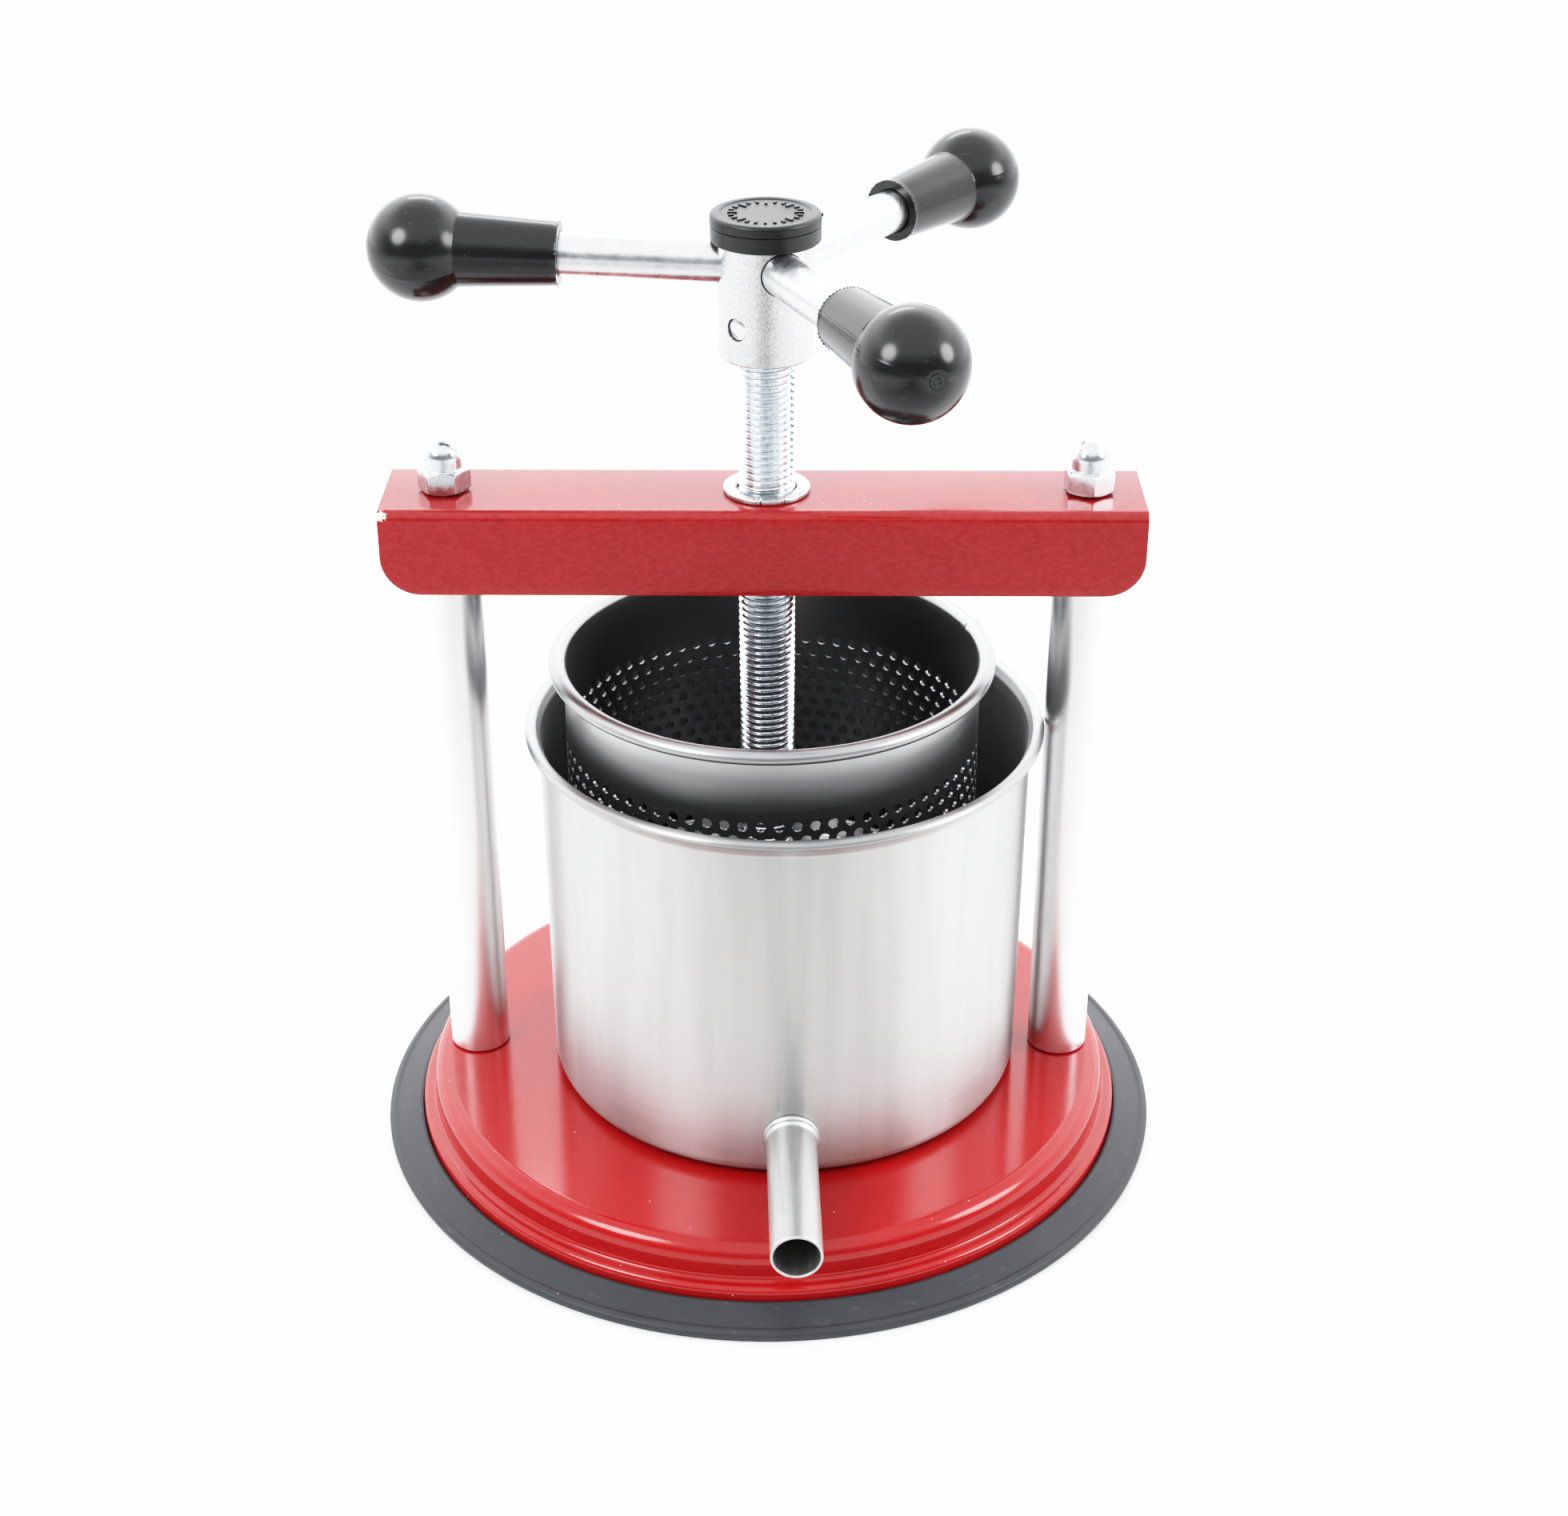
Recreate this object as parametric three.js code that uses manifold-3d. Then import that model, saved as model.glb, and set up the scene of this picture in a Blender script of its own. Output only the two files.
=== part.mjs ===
// Basket wine press: a pressed steel base in a rubber ring, two aluminium columns and a channel
// beam with a threaded bush, a screw with a three-arm handle that drives a press plate, and a
// perforated basket that stands in a pot with a spout.
// Millimetres, +Z up. The origin is the middle of the base, on the surface that the press stands on.
// The beam lies along X and the spout points to -Y.
import * as THREE from "three";
import { mergeVertices } from "three/addons/utils/BufferGeometryUtils.js";
import Module from "manifold-3d";

// ---------------------------------------------------------------------------------- dimensions
const GAP = 0.3; // between pieces that touch
const STEEL = 2; // sheet of the base

const RING = { outer: 118.8, inner: 101, lip: 3.1, crown: 6.3, grooveFloor: 2, corner: 0.9 };
const PAN = {
  top: 20.7,
  shoulder: 104, // radius of the wall below the rounded shoulder
  shoulderRound: 7,
  ledge: 9.6, // height of the ledge round the wall
  skirt: 107.8, // radius of the skirt that the ring grips
  skirtRound: 1.6,
};

const COLUMN = { spacing: 180, diameter: 18, bore: 13 };
const STUD = { diameter: 8, bottom: 6.5, clear: 9 };
const M8_NUT = { acrossFlats: 13, height: 6.5, capHeight: 15, dome: 11, round: 14.6 };
const M8_WASHER = { diameter: 15, thickness: 1.6 };

const BEAM = {
  length: 212,
  offset: -0.9,
  width: 34.4,
  top: 205.4,
  depth: 24.7,
  sheet: 2.5,
  bend: 3,
  corner: 11,
};

const SCREW = { diameter: 16, top: 262, groove: 12 };
const BUSH = { flange: 24.4, flangeHeight: 1.7, neck: 20, body: 28, bottom: 182 };

const HUB = { diameter: 26.2, bottom: 245.3, top: 281.5, pinHeight: 255.5, pinAngle: 52.8 };
const HUB_PIN = { diameter: 6, length: 25 };
const CAP = { diameter: 30.1, bottom: 277.35, top: 285.2, seam: 282, seamWidth: 0.5, seamDepth: 0.35 };

const ARM = { angles: [177, 292.6, 51.1], rise: 1.6, height: 270.7, rod: 11.8, inner: 7, outer: 85 };
const GRIP = { ball: 29, ballAt: 93.2, open: 55.5, openDiameter: 17.2, rootDiameter: 20, lip: 0.8 };

const PLATE = { diameter: 109, bottom: 62.5, sheet: 2.5, rim: 9.5, rimSheet: 1.6 };
const BOSS = { diameter: 36, height: 13.5, pinHeight: 6.5, pinDiameter: 4, pinLength: 33 };

const POT = {
  centre: 5,
  rimHeight: 133.3,
  rimOuter: 75.8,
  rimInner: 72.2,
  rimThick: 2.8,
  wallTop: 72,
  wallFoot: 70.9,
  sheet: 1,
  footRound: 4,
};
const SPOUT = { angle: -88.1, drop: 1.6, height: 34.8, reach: 122.9, diameter: 14.5, sheet: 0.8 };
const SPOUT_COLLAR = { diameter: 16.6, width: 1.6, groove: 15.6 };

const BASKET = {
  centre: 1.4,
  wall: 60.2,
  sheet: 0.8,
  beadHeight: 153.7,
  beadCentre: 62.4,
  bead: 4.1,
};

const SEGMENTS = { large: 48, medium: 32, small: 20 };

// ----------------------------------------------------------------------------------- materials
function finish(color, roughness, metalness) {
  return new THREE.MeshStandardMaterial({ color, roughness, metalness });
}
const RED_ENAMEL = finish(0xb3141c, 0.25, 0.1);
const RUBBER = finish(0x3a3b3e, 0.7, 0);
const ALUMINIUM = finish(0xd9dbde, 0.25, 1);
const BRIGHT_ZINC = finish(0xc9d2d8, 0.3, 1);
const STAINLESS = finish(0xb9b9b8, 0.4, 1);
const POLISHED_STAINLESS = finish(0xc8c8c8, 0.22, 1);
const GLOSS_BLACK = finish(0x17171a, 0.2, 0);
const SATIN_BLACK = finish(0x232326, 0.45, 0);

// ---------------------------------------------------------------------------- shapes and solids
const wasm = await Module();
wasm.setup();

const degrees = THREE.MathUtils.degToRad;
const point = (radius, height) => new THREE.Vector2(radius, height);

// Points on an arc from one angle to another, both ends included. Angles are in degrees.
function arc(radius, height, size, from, to, steps) {
  const points = [];
  for (let i = 0; i <= steps; i++) {
    const angle = degrees(from + ((to - from) * i) / steps);
    points.push(point(radius + size * Math.cos(angle), height + size * Math.sin(angle)));
  }
  return points;
}

// A solid of revolution about Z. The profile runs counter-clockwise, outwards along the bottom first.
// It starts and ends on the axis, or is closed here when it stands clear of the axis.
function revolve(profile, segments) {
  const onAxis = profile[0].x === 0;
  const points = onAxis ? profile : [...profile, profile[0].clone()];
  return new THREE.LatheGeometry(points, segments).rotateX(Math.PI / 2);
}

function disc(diameter, bottom, top, segments) {
  const r = diameter / 2;
  return revolve([point(0, bottom), point(r, bottom), point(r, top), point(0, top)], segments);
}

function tube(outer, inner, bottom, top, segments) {
  const [a, b] = [inner / 2, outer / 2];
  return revolve([point(a, bottom), point(b, bottom), point(b, top), point(a, top)], segments);
}

// Turns a solid made along +Z so that it points along the horizontal direction `angle`,
// raised by `rise` degrees, and starts at height `height` on the Z axis.
function pointOutwards(geometry, angle, rise, height) {
  return geometry
    .rotateY(Math.PI / 2 - degrees(rise))
    .rotateZ(degrees(angle))
    .translate(0, 0, height);
}

function toSolid(geometry) {
  const bare = geometry.clone();
  bare.deleteAttribute("normal");
  bare.deleteAttribute("uv");
  const merged = mergeVertices(bare, 1e-4);
  const vertProperties = merged.attributes.position.array;
  const triVerts = new Uint32Array(merged.index.array);
  return new wasm.Manifold(new wasm.Mesh({ numProp: 3, vertProperties, triVerts }));
}

function toGeometry(solid) {
  const mesh = solid.getMesh();
  const geometry = new THREE.BufferGeometry();
  geometry.setAttribute("position", new THREE.BufferAttribute(mesh.vertProperties, 3));
  geometry.setIndex(new THREE.BufferAttribute(mesh.triVerts, 1));
  geometry.computeVertexNormals();
  return geometry;
}

function subtract(geometry, ...cutters) {
  const solid = cutters.reduce((whole, cutter) => whole.subtract(toSolid(cutter)), toSolid(geometry));
  return toGeometry(solid);
}

function intersect(a, b) {
  return toGeometry(toSolid(a).intersect(toSolid(b)));
}

function unite(...geometries) {
  return toGeometry(geometries.map(toSolid).reduce((whole, next) => whole.add(next)));
}

const press = new THREE.Group();

function add(name, geometry, material, x = 0, y = 0, z = 0) {
  const mesh = new THREE.Mesh(geometry, material);
  mesh.name = name;
  mesh.position.set(x, y, z);
  press.add(mesh);
}

// ---------------------------------------------------------------------------------------- base
function baseRing() {
  const { outer, inner, lip, crown, grooveFloor, corner } = RING;
  const slotOuter = PAN.skirt + GAP;
  const slotInner = PAN.skirt - STEEL - GAP;
  const profile = [
    point(inner, 0),
    point(outer - corner, 0),
    point(outer, corner),
    point(outer, lip - corner),
    point(outer - corner, lip),
    point(slotOuter + 1.1, crown),
    point(slotOuter, crown),
    point(slotOuter, grooveFloor),
    point(slotInner, grooveFloor),
    point(slotInner, crown),
    point(inner + 1, crown),
    point(inner, crown - 1.5),
  ];
  return revolve(profile, SEGMENTS.large);
}

// The pressed steel base: flat top, rounded shoulder, a ledge and the skirt in the ring.
function basePan() {
  const { top, shoulder, shoulderRound, ledge, skirt, skirtRound } = PAN;
  const flat = shoulder - shoulderRound;
  const foot = RING.grooveFloor + GAP;
  const profile = [
    point(0, top - STEEL),
    ...arc(flat, top - shoulderRound, shoulderRound - STEEL, 90, 0, 3),
    point(shoulder - STEEL, ledge - STEEL),
    point(skirt - STEEL, ledge - STEEL),
    point(skirt - STEEL, foot),
    point(skirt, foot),
    ...arc(skirt - skirtRound, ledge - skirtRound, skirtRound, 0, 90, 2),
    point(shoulder + 1, ledge + 0.3),
    point(shoulder, ledge + 1.8),
    ...arc(flat, top - shoulderRound, shoulderRound, 0, 90, 4),
    point(0, top),
  ];
  const holes = [-1, 1].map((side) =>
    disc(STUD.clear, 0, top + 1, SEGMENTS.small).translate((side * COLUMN.spacing) / 2, 0, 0),
  );
  return subtract(revolve(profile, SEGMENTS.large), ...holes);
}

add("base_ring", baseRing(), RUBBER);
add("base_pan", basePan(), RED_ENAMEL);

// ----------------------------------------------------------------------------- beam and columns
const beamUnderside = BEAM.top - BEAM.sheet;

// An inverted channel, bent from sheet, with the lower corners of both flanges rounded.
function crossbeam() {
  const { length, offset, width, top, depth, sheet, bend, corner } = BEAM;
  const half = width / 2;
  const channel = new THREE.Shape();
  channel.moveTo(-half, top - depth);
  channel.lineTo(-half + sheet, top - depth);
  channel.lineTo(-half + sheet, top - sheet);
  channel.lineTo(half - sheet, top - sheet);
  channel.lineTo(half - sheet, top - depth);
  channel.lineTo(half, top - depth);
  channel.absarc(half - bend, top - bend, bend, 0, Math.PI / 2, false);
  channel.absarc(bend - half, top - bend, bend, Math.PI / 2, Math.PI, false);
  channel.closePath();
  const alongX = new THREE.Matrix4().makeBasis(
    new THREE.Vector3(0, 1, 0),
    new THREE.Vector3(0, 0, 1),
    new THREE.Vector3(1, 0, 0),
  );
  const sheetMetal = new THREE.ExtrudeGeometry(channel, {
    depth: length,
    bevelEnabled: false,
    curveSegments: 3,
  });
  sheetMetal.applyMatrix4(alongX).translate(offset - length / 2, 0, 0);

  const outline = new THREE.Shape();
  const end = length / 2;
  outline.moveTo(end, top + 1);
  outline.lineTo(-end, top + 1);
  outline.absarc(corner - end, top - depth + corner, corner, Math.PI, 1.5 * Math.PI, false);
  outline.absarc(end - corner, top - depth + corner, corner, 1.5 * Math.PI, 2 * Math.PI, false);
  outline.closePath();
  const acrossY = new THREE.Matrix4().makeBasis(
    new THREE.Vector3(1, 0, 0),
    new THREE.Vector3(0, 0, 1),
    new THREE.Vector3(0, -1, 0),
  );
  const sides = new THREE.ExtrudeGeometry(outline, {
    depth: width + 2,
    bevelEnabled: false,
    curveSegments: 6,
  });
  sides.applyMatrix4(acrossY).translate(offset, half + 1, 0);

  const studHoles = [-1, 1].map((side) =>
    disc(STUD.clear, top - depth, top + 1, SEGMENTS.small).translate((side * COLUMN.spacing) / 2, 0, 0),
  );
  const bushHole = disc(BUSH.neck + 2 * GAP, top - depth, top + 1, SEGMENTS.medium);
  return subtract(intersect(sheetMetal, sides), bushHole, ...studHoles);
}

// A hexagon prism with its corners turned down to `round` at the top.
function hexagon(acrossFlats, round, bottom, top) {
  const outer = acrossFlats / Math.sqrt(3);
  const prism = new THREE.CylinderGeometry(outer, outer, top - bottom, 6)
    .rotateX(Math.PI / 2)
    .translate(0, 0, (top + bottom) / 2);
  const chamfer = [
    point(0, bottom - 1),
    point(outer + 1, bottom - 1),
    point(outer + 1, top - 1.6),
    point(round / 2 - 0.9, top),
    point(0, top),
  ];
  return intersect(prism, revolve(chamfer, SEGMENTS.small));
}

function capNut(turn) {
  const base = BEAM.top + GAP;
  const { acrossFlats, height, capHeight, dome, round } = M8_NUT;
  const r = dome / 2;
  const crown = [
    point(0, base + 1),
    point(r, base + 1),
    ...arc(0, base + capHeight - r, r, 0, 90, 5).slice(0, -1),
    point(0, base + capHeight),
  ];
  const hex = hexagon(acrossFlats, round, base, base + height).rotateZ(degrees(turn));
  const blindHole = disc(STUD.diameter + 2 * GAP, base - 1, base + 11, SEGMENTS.small);
  return subtract(unite(hex, revolve(crown, SEGMENTS.small)), blindHole);
}

function footNut() {
  const top = PAN.top - STEEL - M8_WASHER.thickness - 2 * GAP;
  const hex = hexagon(M8_NUT.acrossFlats, M8_NUT.round, top - M8_NUT.height, top);
  return subtract(hex, disc(STUD.diameter + 2 * GAP, 0, top + 1, SEGMENTS.small));
}

function footWasher() {
  const top = PAN.top - STEEL - GAP;
  return tube(M8_WASHER.diameter, STUD.clear, top - M8_WASHER.thickness, top, SEGMENTS.small);
}

// The threaded bush: a body under the beam, a neck through it and a flange swaged over the top.
function nutBush() {
  const bore = SCREW.diameter / 2 + GAP;
  const { flange, flangeHeight, neck, body, bottom } = BUSH;
  const profile = [
    point(bore, bottom),
    point(body / 2 - 1, bottom),
    point(body / 2, bottom + 1),
    point(body / 2, beamUnderside - GAP),
    point(neck / 2, beamUnderside - GAP),
    point(neck / 2, BEAM.top + GAP),
    point(flange / 2, BEAM.top + GAP),
    point(flange / 2 - 0.4, BEAM.top + GAP + flangeHeight - 0.4),
    point(flange / 2 - 1.2, BEAM.top + GAP + flangeHeight),
    point(bore + 0.7, BEAM.top + GAP + flangeHeight),
    point(bore, BEAM.top + GAP + flangeHeight - 0.7),
  ];
  return revolve(profile, SEGMENTS.medium);
}

add("crossbeam", crossbeam(), RED_ENAMEL);
add("nut_bush", nutBush(), BRIGHT_ZINC);
for (const [side, name, nutTurn] of [
  [-1, "left", 30],
  [1, "right", 4],
]) {
  const x = (side * COLUMN.spacing) / 2;
  const column = tube(
    COLUMN.diameter,
    COLUMN.bore,
    PAN.top + GAP,
    beamUnderside - GAP,
    SEGMENTS.medium,
  );
  add("column_" + name, column, ALUMINIUM, x);
  add("tie_rod_" + name, disc(STUD.diameter, STUD.bottom, BEAM.top + 10, SEGMENTS.small), BRIGHT_ZINC, x);
  add("cap_nut_" + name, capNut(nutTurn), BRIGHT_ZINC, x);
  add("foot_washer_" + name, footWasher(), BRIGHT_ZINC, x);
  add("foot_nut_" + name, footNut(), BRIGHT_ZINC, x);
}

// ------------------------------------------------------------------------------ screw and handle
const plateTop = PLATE.bottom + PLATE.sheet;
const screwFoot = plateTop + GAP;
const bossPinHeight = plateTop + BOSS.pinHeight;

// The screw: a collar groove near its foot holds the press plate, a cross hole takes the hub pin.
function pressScrew() {
  const r = SCREW.diameter / 2;
  const groove = SCREW.groove / 2;
  const halfGroove = BOSS.pinDiameter / 2 + GAP;
  const profile = [
    point(0, screwFoot),
    point(r - 1, screwFoot),
    point(r, screwFoot + 1),
    point(r, bossPinHeight - halfGroove),
    point(groove, bossPinHeight - halfGroove),
    point(groove, bossPinHeight + halfGroove),
    point(r, bossPinHeight + halfGroove),
    point(r, SCREW.top - 1),
    point(r - 1, SCREW.top),
    point(0, SCREW.top),
  ];
  return subtract(revolve(profile, SEGMENTS.medium), crossPin(HUB_PIN.diameter + 2 * GAP, 40));
}

function crossPin(diameter, length) {
  const pin = disc(diameter, -length / 2, length / 2, SEGMENTS.small);
  return pointOutwards(pin, HUB.pinAngle, 0, HUB.pinHeight);
}

function handleHub() {
  const r = HUB.diameter / 2;
  const body = [
    point(0, HUB.bottom),
    point(r - 0.6, HUB.bottom),
    point(r, HUB.bottom + 0.6),
    point(r, HUB.top - 0.8),
    point(r - 0.8, HUB.top),
    point(0, HUB.top),
  ];
  const screwHole = disc(SCREW.diameter + 2 * GAP, HUB.bottom - 1, SCREW.top + GAP, SEGMENTS.medium);
  const rodHoles = ARM.angles.map((angle) => {
    const hole = disc(ARM.rod + 2 * GAP, ARM.inner - GAP, HUB.diameter, SEGMENTS.small);
    return pointOutwards(hole, angle, ARM.rise, ARM.height);
  });
  const pinHole = crossPin(HUB_PIN.diameter + 2 * GAP, 40);
  return subtract(revolve(body, SEGMENTS.medium), screwHole, pinHole, ...rodHoles);
}

// A cap pushed over the top of the hub, with a fine groove where its disc meets its skirt.
function hubCap() {
  const r = CAP.diameter / 2;
  const inside = HUB.diameter / 2 + GAP;
  const roof = HUB.top + GAP;
  const profile = [
    point(0, roof),
    point(inside, roof),
    point(inside, CAP.bottom),
    point(r - 0.6, CAP.bottom),
    point(r - 0.1, CAP.bottom + 0.6),
    point(r - 0.1, CAP.seam - CAP.seamWidth),
    point(r - CAP.seamDepth, CAP.seam - CAP.seamWidth / 2),
    point(r, CAP.seam),
    point(r, CAP.top - 0.9),
    point(r - 0.9, CAP.top),
    point(0, CAP.top),
  ];
  return revolve(profile, SEGMENTS.medium);
}

// A ball with a tapered sleeve, in one piece, bored for the rod.
function ballGrip() {
  const ball = GRIP.ball / 2;
  const root = GRIP.rootDiameter / 2;
  const open = GRIP.openDiameter / 2;
  const bore = ARM.rod / 2 + GAP;
  const rootAngle = (Math.asin(root / ball) * 180) / Math.PI;
  const profile = [
    point(0, GRIP.open),
    point(open - GRIP.lip / 2, GRIP.open),
    point(open, GRIP.open + GRIP.lip),
    ...arc(0, GRIP.ballAt, ball, rootAngle - 90, 90, 9).slice(0, -1),
    point(0, GRIP.ballAt + ball),
  ];
  const hole = disc(2 * bore, GRIP.open - 1, ARM.outer + GAP, SEGMENTS.small);
  return subtract(revolve(profile, SEGMENTS.small), hole);
}

add("press_screw", pressScrew(), BRIGHT_ZINC);
add("handle_hub", handleHub(), BRIGHT_ZINC);
add("hub_pin", crossPin(HUB_PIN.diameter, HUB_PIN.length), BRIGHT_ZINC);
add("hub_cap", hubCap(), SATIN_BLACK);
ARM.angles.forEach((angle, i) => {
  const rod = disc(ARM.rod, ARM.inner, ARM.outer, SEGMENTS.small);
  add("handle_rod_" + (i + 1), pointOutwards(rod, angle, ARM.rise, ARM.height), BRIGHT_ZINC);
  add("ball_grip_" + (i + 1), pointOutwards(ballGrip(), angle, ARM.rise, ARM.height), GLOSS_BLACK);
});

// ----------------------------------------------------------------------------------- press plate
function pressPlate() {
  const r = PLATE.diameter / 2;
  const profile = [
    point(0, PLATE.bottom),
    point(r - 2, PLATE.bottom),
    point(r, PLATE.bottom + 2),
    point(r, PLATE.bottom + PLATE.rim),
    point(r - PLATE.rimSheet, PLATE.bottom + PLATE.rim),
    point(r - PLATE.rimSheet, plateTop),
    point(0, plateTop),
  ];
  return revolve(profile, SEGMENTS.large);
}

// The boss on the plate turns round the screw's foot, and its pin runs in the screw's groove.
function plateBoss() {
  const bore = SCREW.diameter + 2 * GAP;
  const bottom = plateTop + GAP;
  const body = tube(BOSS.diameter, bore, bottom, plateTop + BOSS.height, SEGMENTS.medium);
  return subtract(body, bossPin(BOSS.pinDiameter + 2 * GAP, 2 * BOSS.pinLength));
}

function bossPin(diameter, length) {
  const y = SCREW.groove / 2 + GAP + BOSS.pinDiameter / 2;
  const pin = disc(diameter, -length / 2, length / 2, SEGMENTS.small);
  return pin.rotateY(Math.PI / 2).translate(0, y, bossPinHeight);
}

add("press_plate", pressPlate(), STAINLESS);
add("plate_boss", plateBoss(), BRIGHT_ZINC);
add("boss_pin", bossPin(BOSS.pinDiameter, BOSS.pinLength - 4), BRIGHT_ZINC);

// ---------------------------------------------------------------------------------- pot and spout
const potFloor = PAN.top + GAP;

function pot() {
  const { rimHeight, rimOuter, rimInner, rimThick, wallTop, wallFoot, sheet, footRound } = POT;
  const neck = rimHeight - 4.5;
  const beadRadius = (rimOuter - rimInner) / 2;
  const bead = (angle) => {
    const a = degrees(angle);
    const radius = (rimOuter + rimInner) / 2 + beadRadius * Math.cos(a);
    return point(radius, rimHeight + (rimThick / 2) * Math.sin(a));
  };
  const outerFoot = arc(wallFoot - footRound, potFloor + footRound, footRound, -90, 0, 3);
  const innerRound = footRound - sheet;
  const innerFoot = arc(wallFoot - footRound, potFloor + footRound, innerRound, 0, -90, 2);
  const profile = [
    point(0, potFloor),
    ...outerFoot,
    point(wallTop, neck),
    point(wallTop + 0.6, rimHeight - 2),
    ...[-50, 0, 50, 90, 130].map(bead),
    point(wallTop - sheet + 0.2, rimHeight - 1.5),
    point(wallTop - sheet, neck),
    ...innerFoot,
    point(0, potFloor + sheet),
  ];
  const bore = alongSpout(disc(SPOUT.diameter - 2 * SPOUT.sheet, wallFoot - 8, wallTop + 8, SEGMENTS.small));
  return subtract(revolve(profile, SEGMENTS.large), bore);
}

// Places a solid made along +Z on the spout's axis, with z = 0 on the pot's axis.
function alongSpout(geometry) {
  const rootRise = Math.tan(degrees(SPOUT.drop)) * POT.wallFoot;
  return pointOutwards(geometry, SPOUT.angle, -SPOUT.drop, SPOUT.height + rootRise);
}

// The spout: a thin tube with a double bead where it meets the pot, cut to the pot's curve.
function spout() {
  const { diameter, sheet, reach } = SPOUT;
  const outer = diameter / 2;
  const inner = outer - sheet;
  const root = POT.wallFoot - 3;
  const collarEnd = POT.wallFoot + 1.7;
  const collar = SPOUT_COLLAR.diameter / 2;
  const profile = [
    point(inner, root),
    point(collar, root),
    point(collar, collarEnd),
    point(SPOUT_COLLAR.groove / 2, collarEnd + 0.3),
    point(SPOUT_COLLAR.groove / 2 + 0.2, collarEnd + SPOUT_COLLAR.width),
    point(outer, collarEnd + SPOUT_COLLAR.width + 0.4),
    point(outer, reach),
    point(inner, reach),
  ];
  const tubeSolid = alongSpout(revolve(profile, SEGMENTS.small));
  const wallHere = POT.wallFoot + ((POT.wallTop - POT.wallFoot) * (SPOUT.height - potFloor)) / POT.rimHeight;
  const potCurve = disc(2 * (wallHere + GAP), 0, POT.rimHeight, 2 * SEGMENTS.large);
  return subtract(tubeSolid, potCurve);
}

add("pot", pot(), STAINLESS, POT.centre);
add("pot_spout", spout(), STAINLESS, POT.centre);

// ---------------------------------------------------------------------------------------- basket
const basketFoot = potFloor + POT.sheet + GAP;

function basket() {
  const { wall, sheet, beadHeight, beadCentre, bead } = BASKET;
  const inner = wall - sheet;
  const beadArc = arc(beadCentre, beadHeight, bead / 2, -135, 165, 7);
  const profile = [
    point(inner, basketFoot),
    point(wall, basketFoot),
    point(wall, beadHeight - 2),
    ...beadArc,
    point(inner, beadHeight),
  ];
  return revolve(profile, SEGMENTS.large);
}

// The floor is a disc welded inside the foot of the wall.
function basketFloor() {
  const inner = BASKET.wall - BASKET.sheet;
  return disc(2 * (inner - GAP), basketFoot, basketFoot + BASKET.sheet, SEGMENTS.large);
}

add("basket", basket(), POLISHED_STAINLESS, BASKET.centre);
add("basket_floor", basketFloor(), STAINLESS, BASKET.centre);

export default press;
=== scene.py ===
"""Basket wine press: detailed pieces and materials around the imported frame."""

import math

import bmesh
import bpy
from mathutils import Matrix, Vector, geometry


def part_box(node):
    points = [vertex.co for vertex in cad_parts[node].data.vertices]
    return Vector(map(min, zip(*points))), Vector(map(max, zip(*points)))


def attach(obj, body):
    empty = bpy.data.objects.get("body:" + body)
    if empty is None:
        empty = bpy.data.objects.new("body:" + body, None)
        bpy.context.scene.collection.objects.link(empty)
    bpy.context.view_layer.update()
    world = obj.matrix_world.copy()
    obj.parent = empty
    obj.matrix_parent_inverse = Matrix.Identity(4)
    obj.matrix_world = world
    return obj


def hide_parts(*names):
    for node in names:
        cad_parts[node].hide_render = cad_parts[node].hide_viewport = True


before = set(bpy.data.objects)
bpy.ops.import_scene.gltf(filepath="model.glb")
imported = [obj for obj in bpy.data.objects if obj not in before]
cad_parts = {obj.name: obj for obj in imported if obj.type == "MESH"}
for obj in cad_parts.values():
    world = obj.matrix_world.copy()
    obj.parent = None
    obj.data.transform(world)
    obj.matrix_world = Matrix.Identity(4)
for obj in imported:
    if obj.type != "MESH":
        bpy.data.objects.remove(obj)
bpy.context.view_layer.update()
scene = bpy.context.scene

MM = 0.001
TURN = 2 * math.pi


def low(node):
    """Lowest corner of a CAD node, in millimetres."""
    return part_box(node)[0] / MM


def high(node):
    """Highest corner of a CAD node, in millimetres."""
    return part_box(node)[1] / MM


# ------------------------------------------------------------------------------ shape tools


def rounded(points, closed=False, step=14):
    """Rounds each corner given as (radius, height, fillet) with an arc of that fillet."""
    out = []
    for i, p in enumerate(points):
        here = Vector(p[:2])
        fillet = p[2] if len(p) > 2 else 0
        if fillet <= 0 or (not closed and i in (0, len(points) - 1)):
            out.append(here)
            continue
        before = Vector(points[i - 1][:2]) - here
        after = Vector(points[(i + 1) % len(points)][:2]) - here
        inner = before.angle(after)
        longest = 0.48 * min(before.length, after.length)
        tangent = min(fillet / math.tan(inner / 2), longest)
        radius = tangent * math.tan(inner / 2)
        before.normalize()
        after.normalize()
        centre = here + (before + after).normalized() * (radius / math.sin(inner / 2))
        start = here + before * tangent - centre
        end = here + after * tangent - centre
        first = math.atan2(start.y, start.x)
        sweep = math.atan2(end.y, end.x) - first
        sweep = (sweep + math.pi) % TURN - math.pi
        steps = max(2, math.ceil(abs(math.degrees(sweep)) / step))
        for k in range(steps + 1):
            a = first + sweep * k / steps
            out.append(centre + radius * Vector((math.cos(a), math.sin(a))))
    return out


def supported(points, closed=False, gap=0.2):
    """Adds points close to both ends of long straight runs, so that they shade flat."""
    out = []
    for i, p in enumerate(points):
        out.append(p)
        if i == len(points) - 1 and not closed:
            break
        q = points[(i + 1) % len(points)]
        run = q - p
        if run.length > 8 * gap:
            run.normalize()
            out += [p + run * gap, q - run * gap]
    return out


def arc(radius, height, size, start, end, steps=8, tall=None):
    """Points on an arc in a profile; `tall` makes it an ellipse of that half height."""
    tall = size if tall is None else tall
    out = []
    for k in range(steps + 1):
        a = math.radians(start + (end - start) * k / steps)
        out.append((radius + size * math.cos(a), height + tall * math.sin(a)))
    return out


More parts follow.
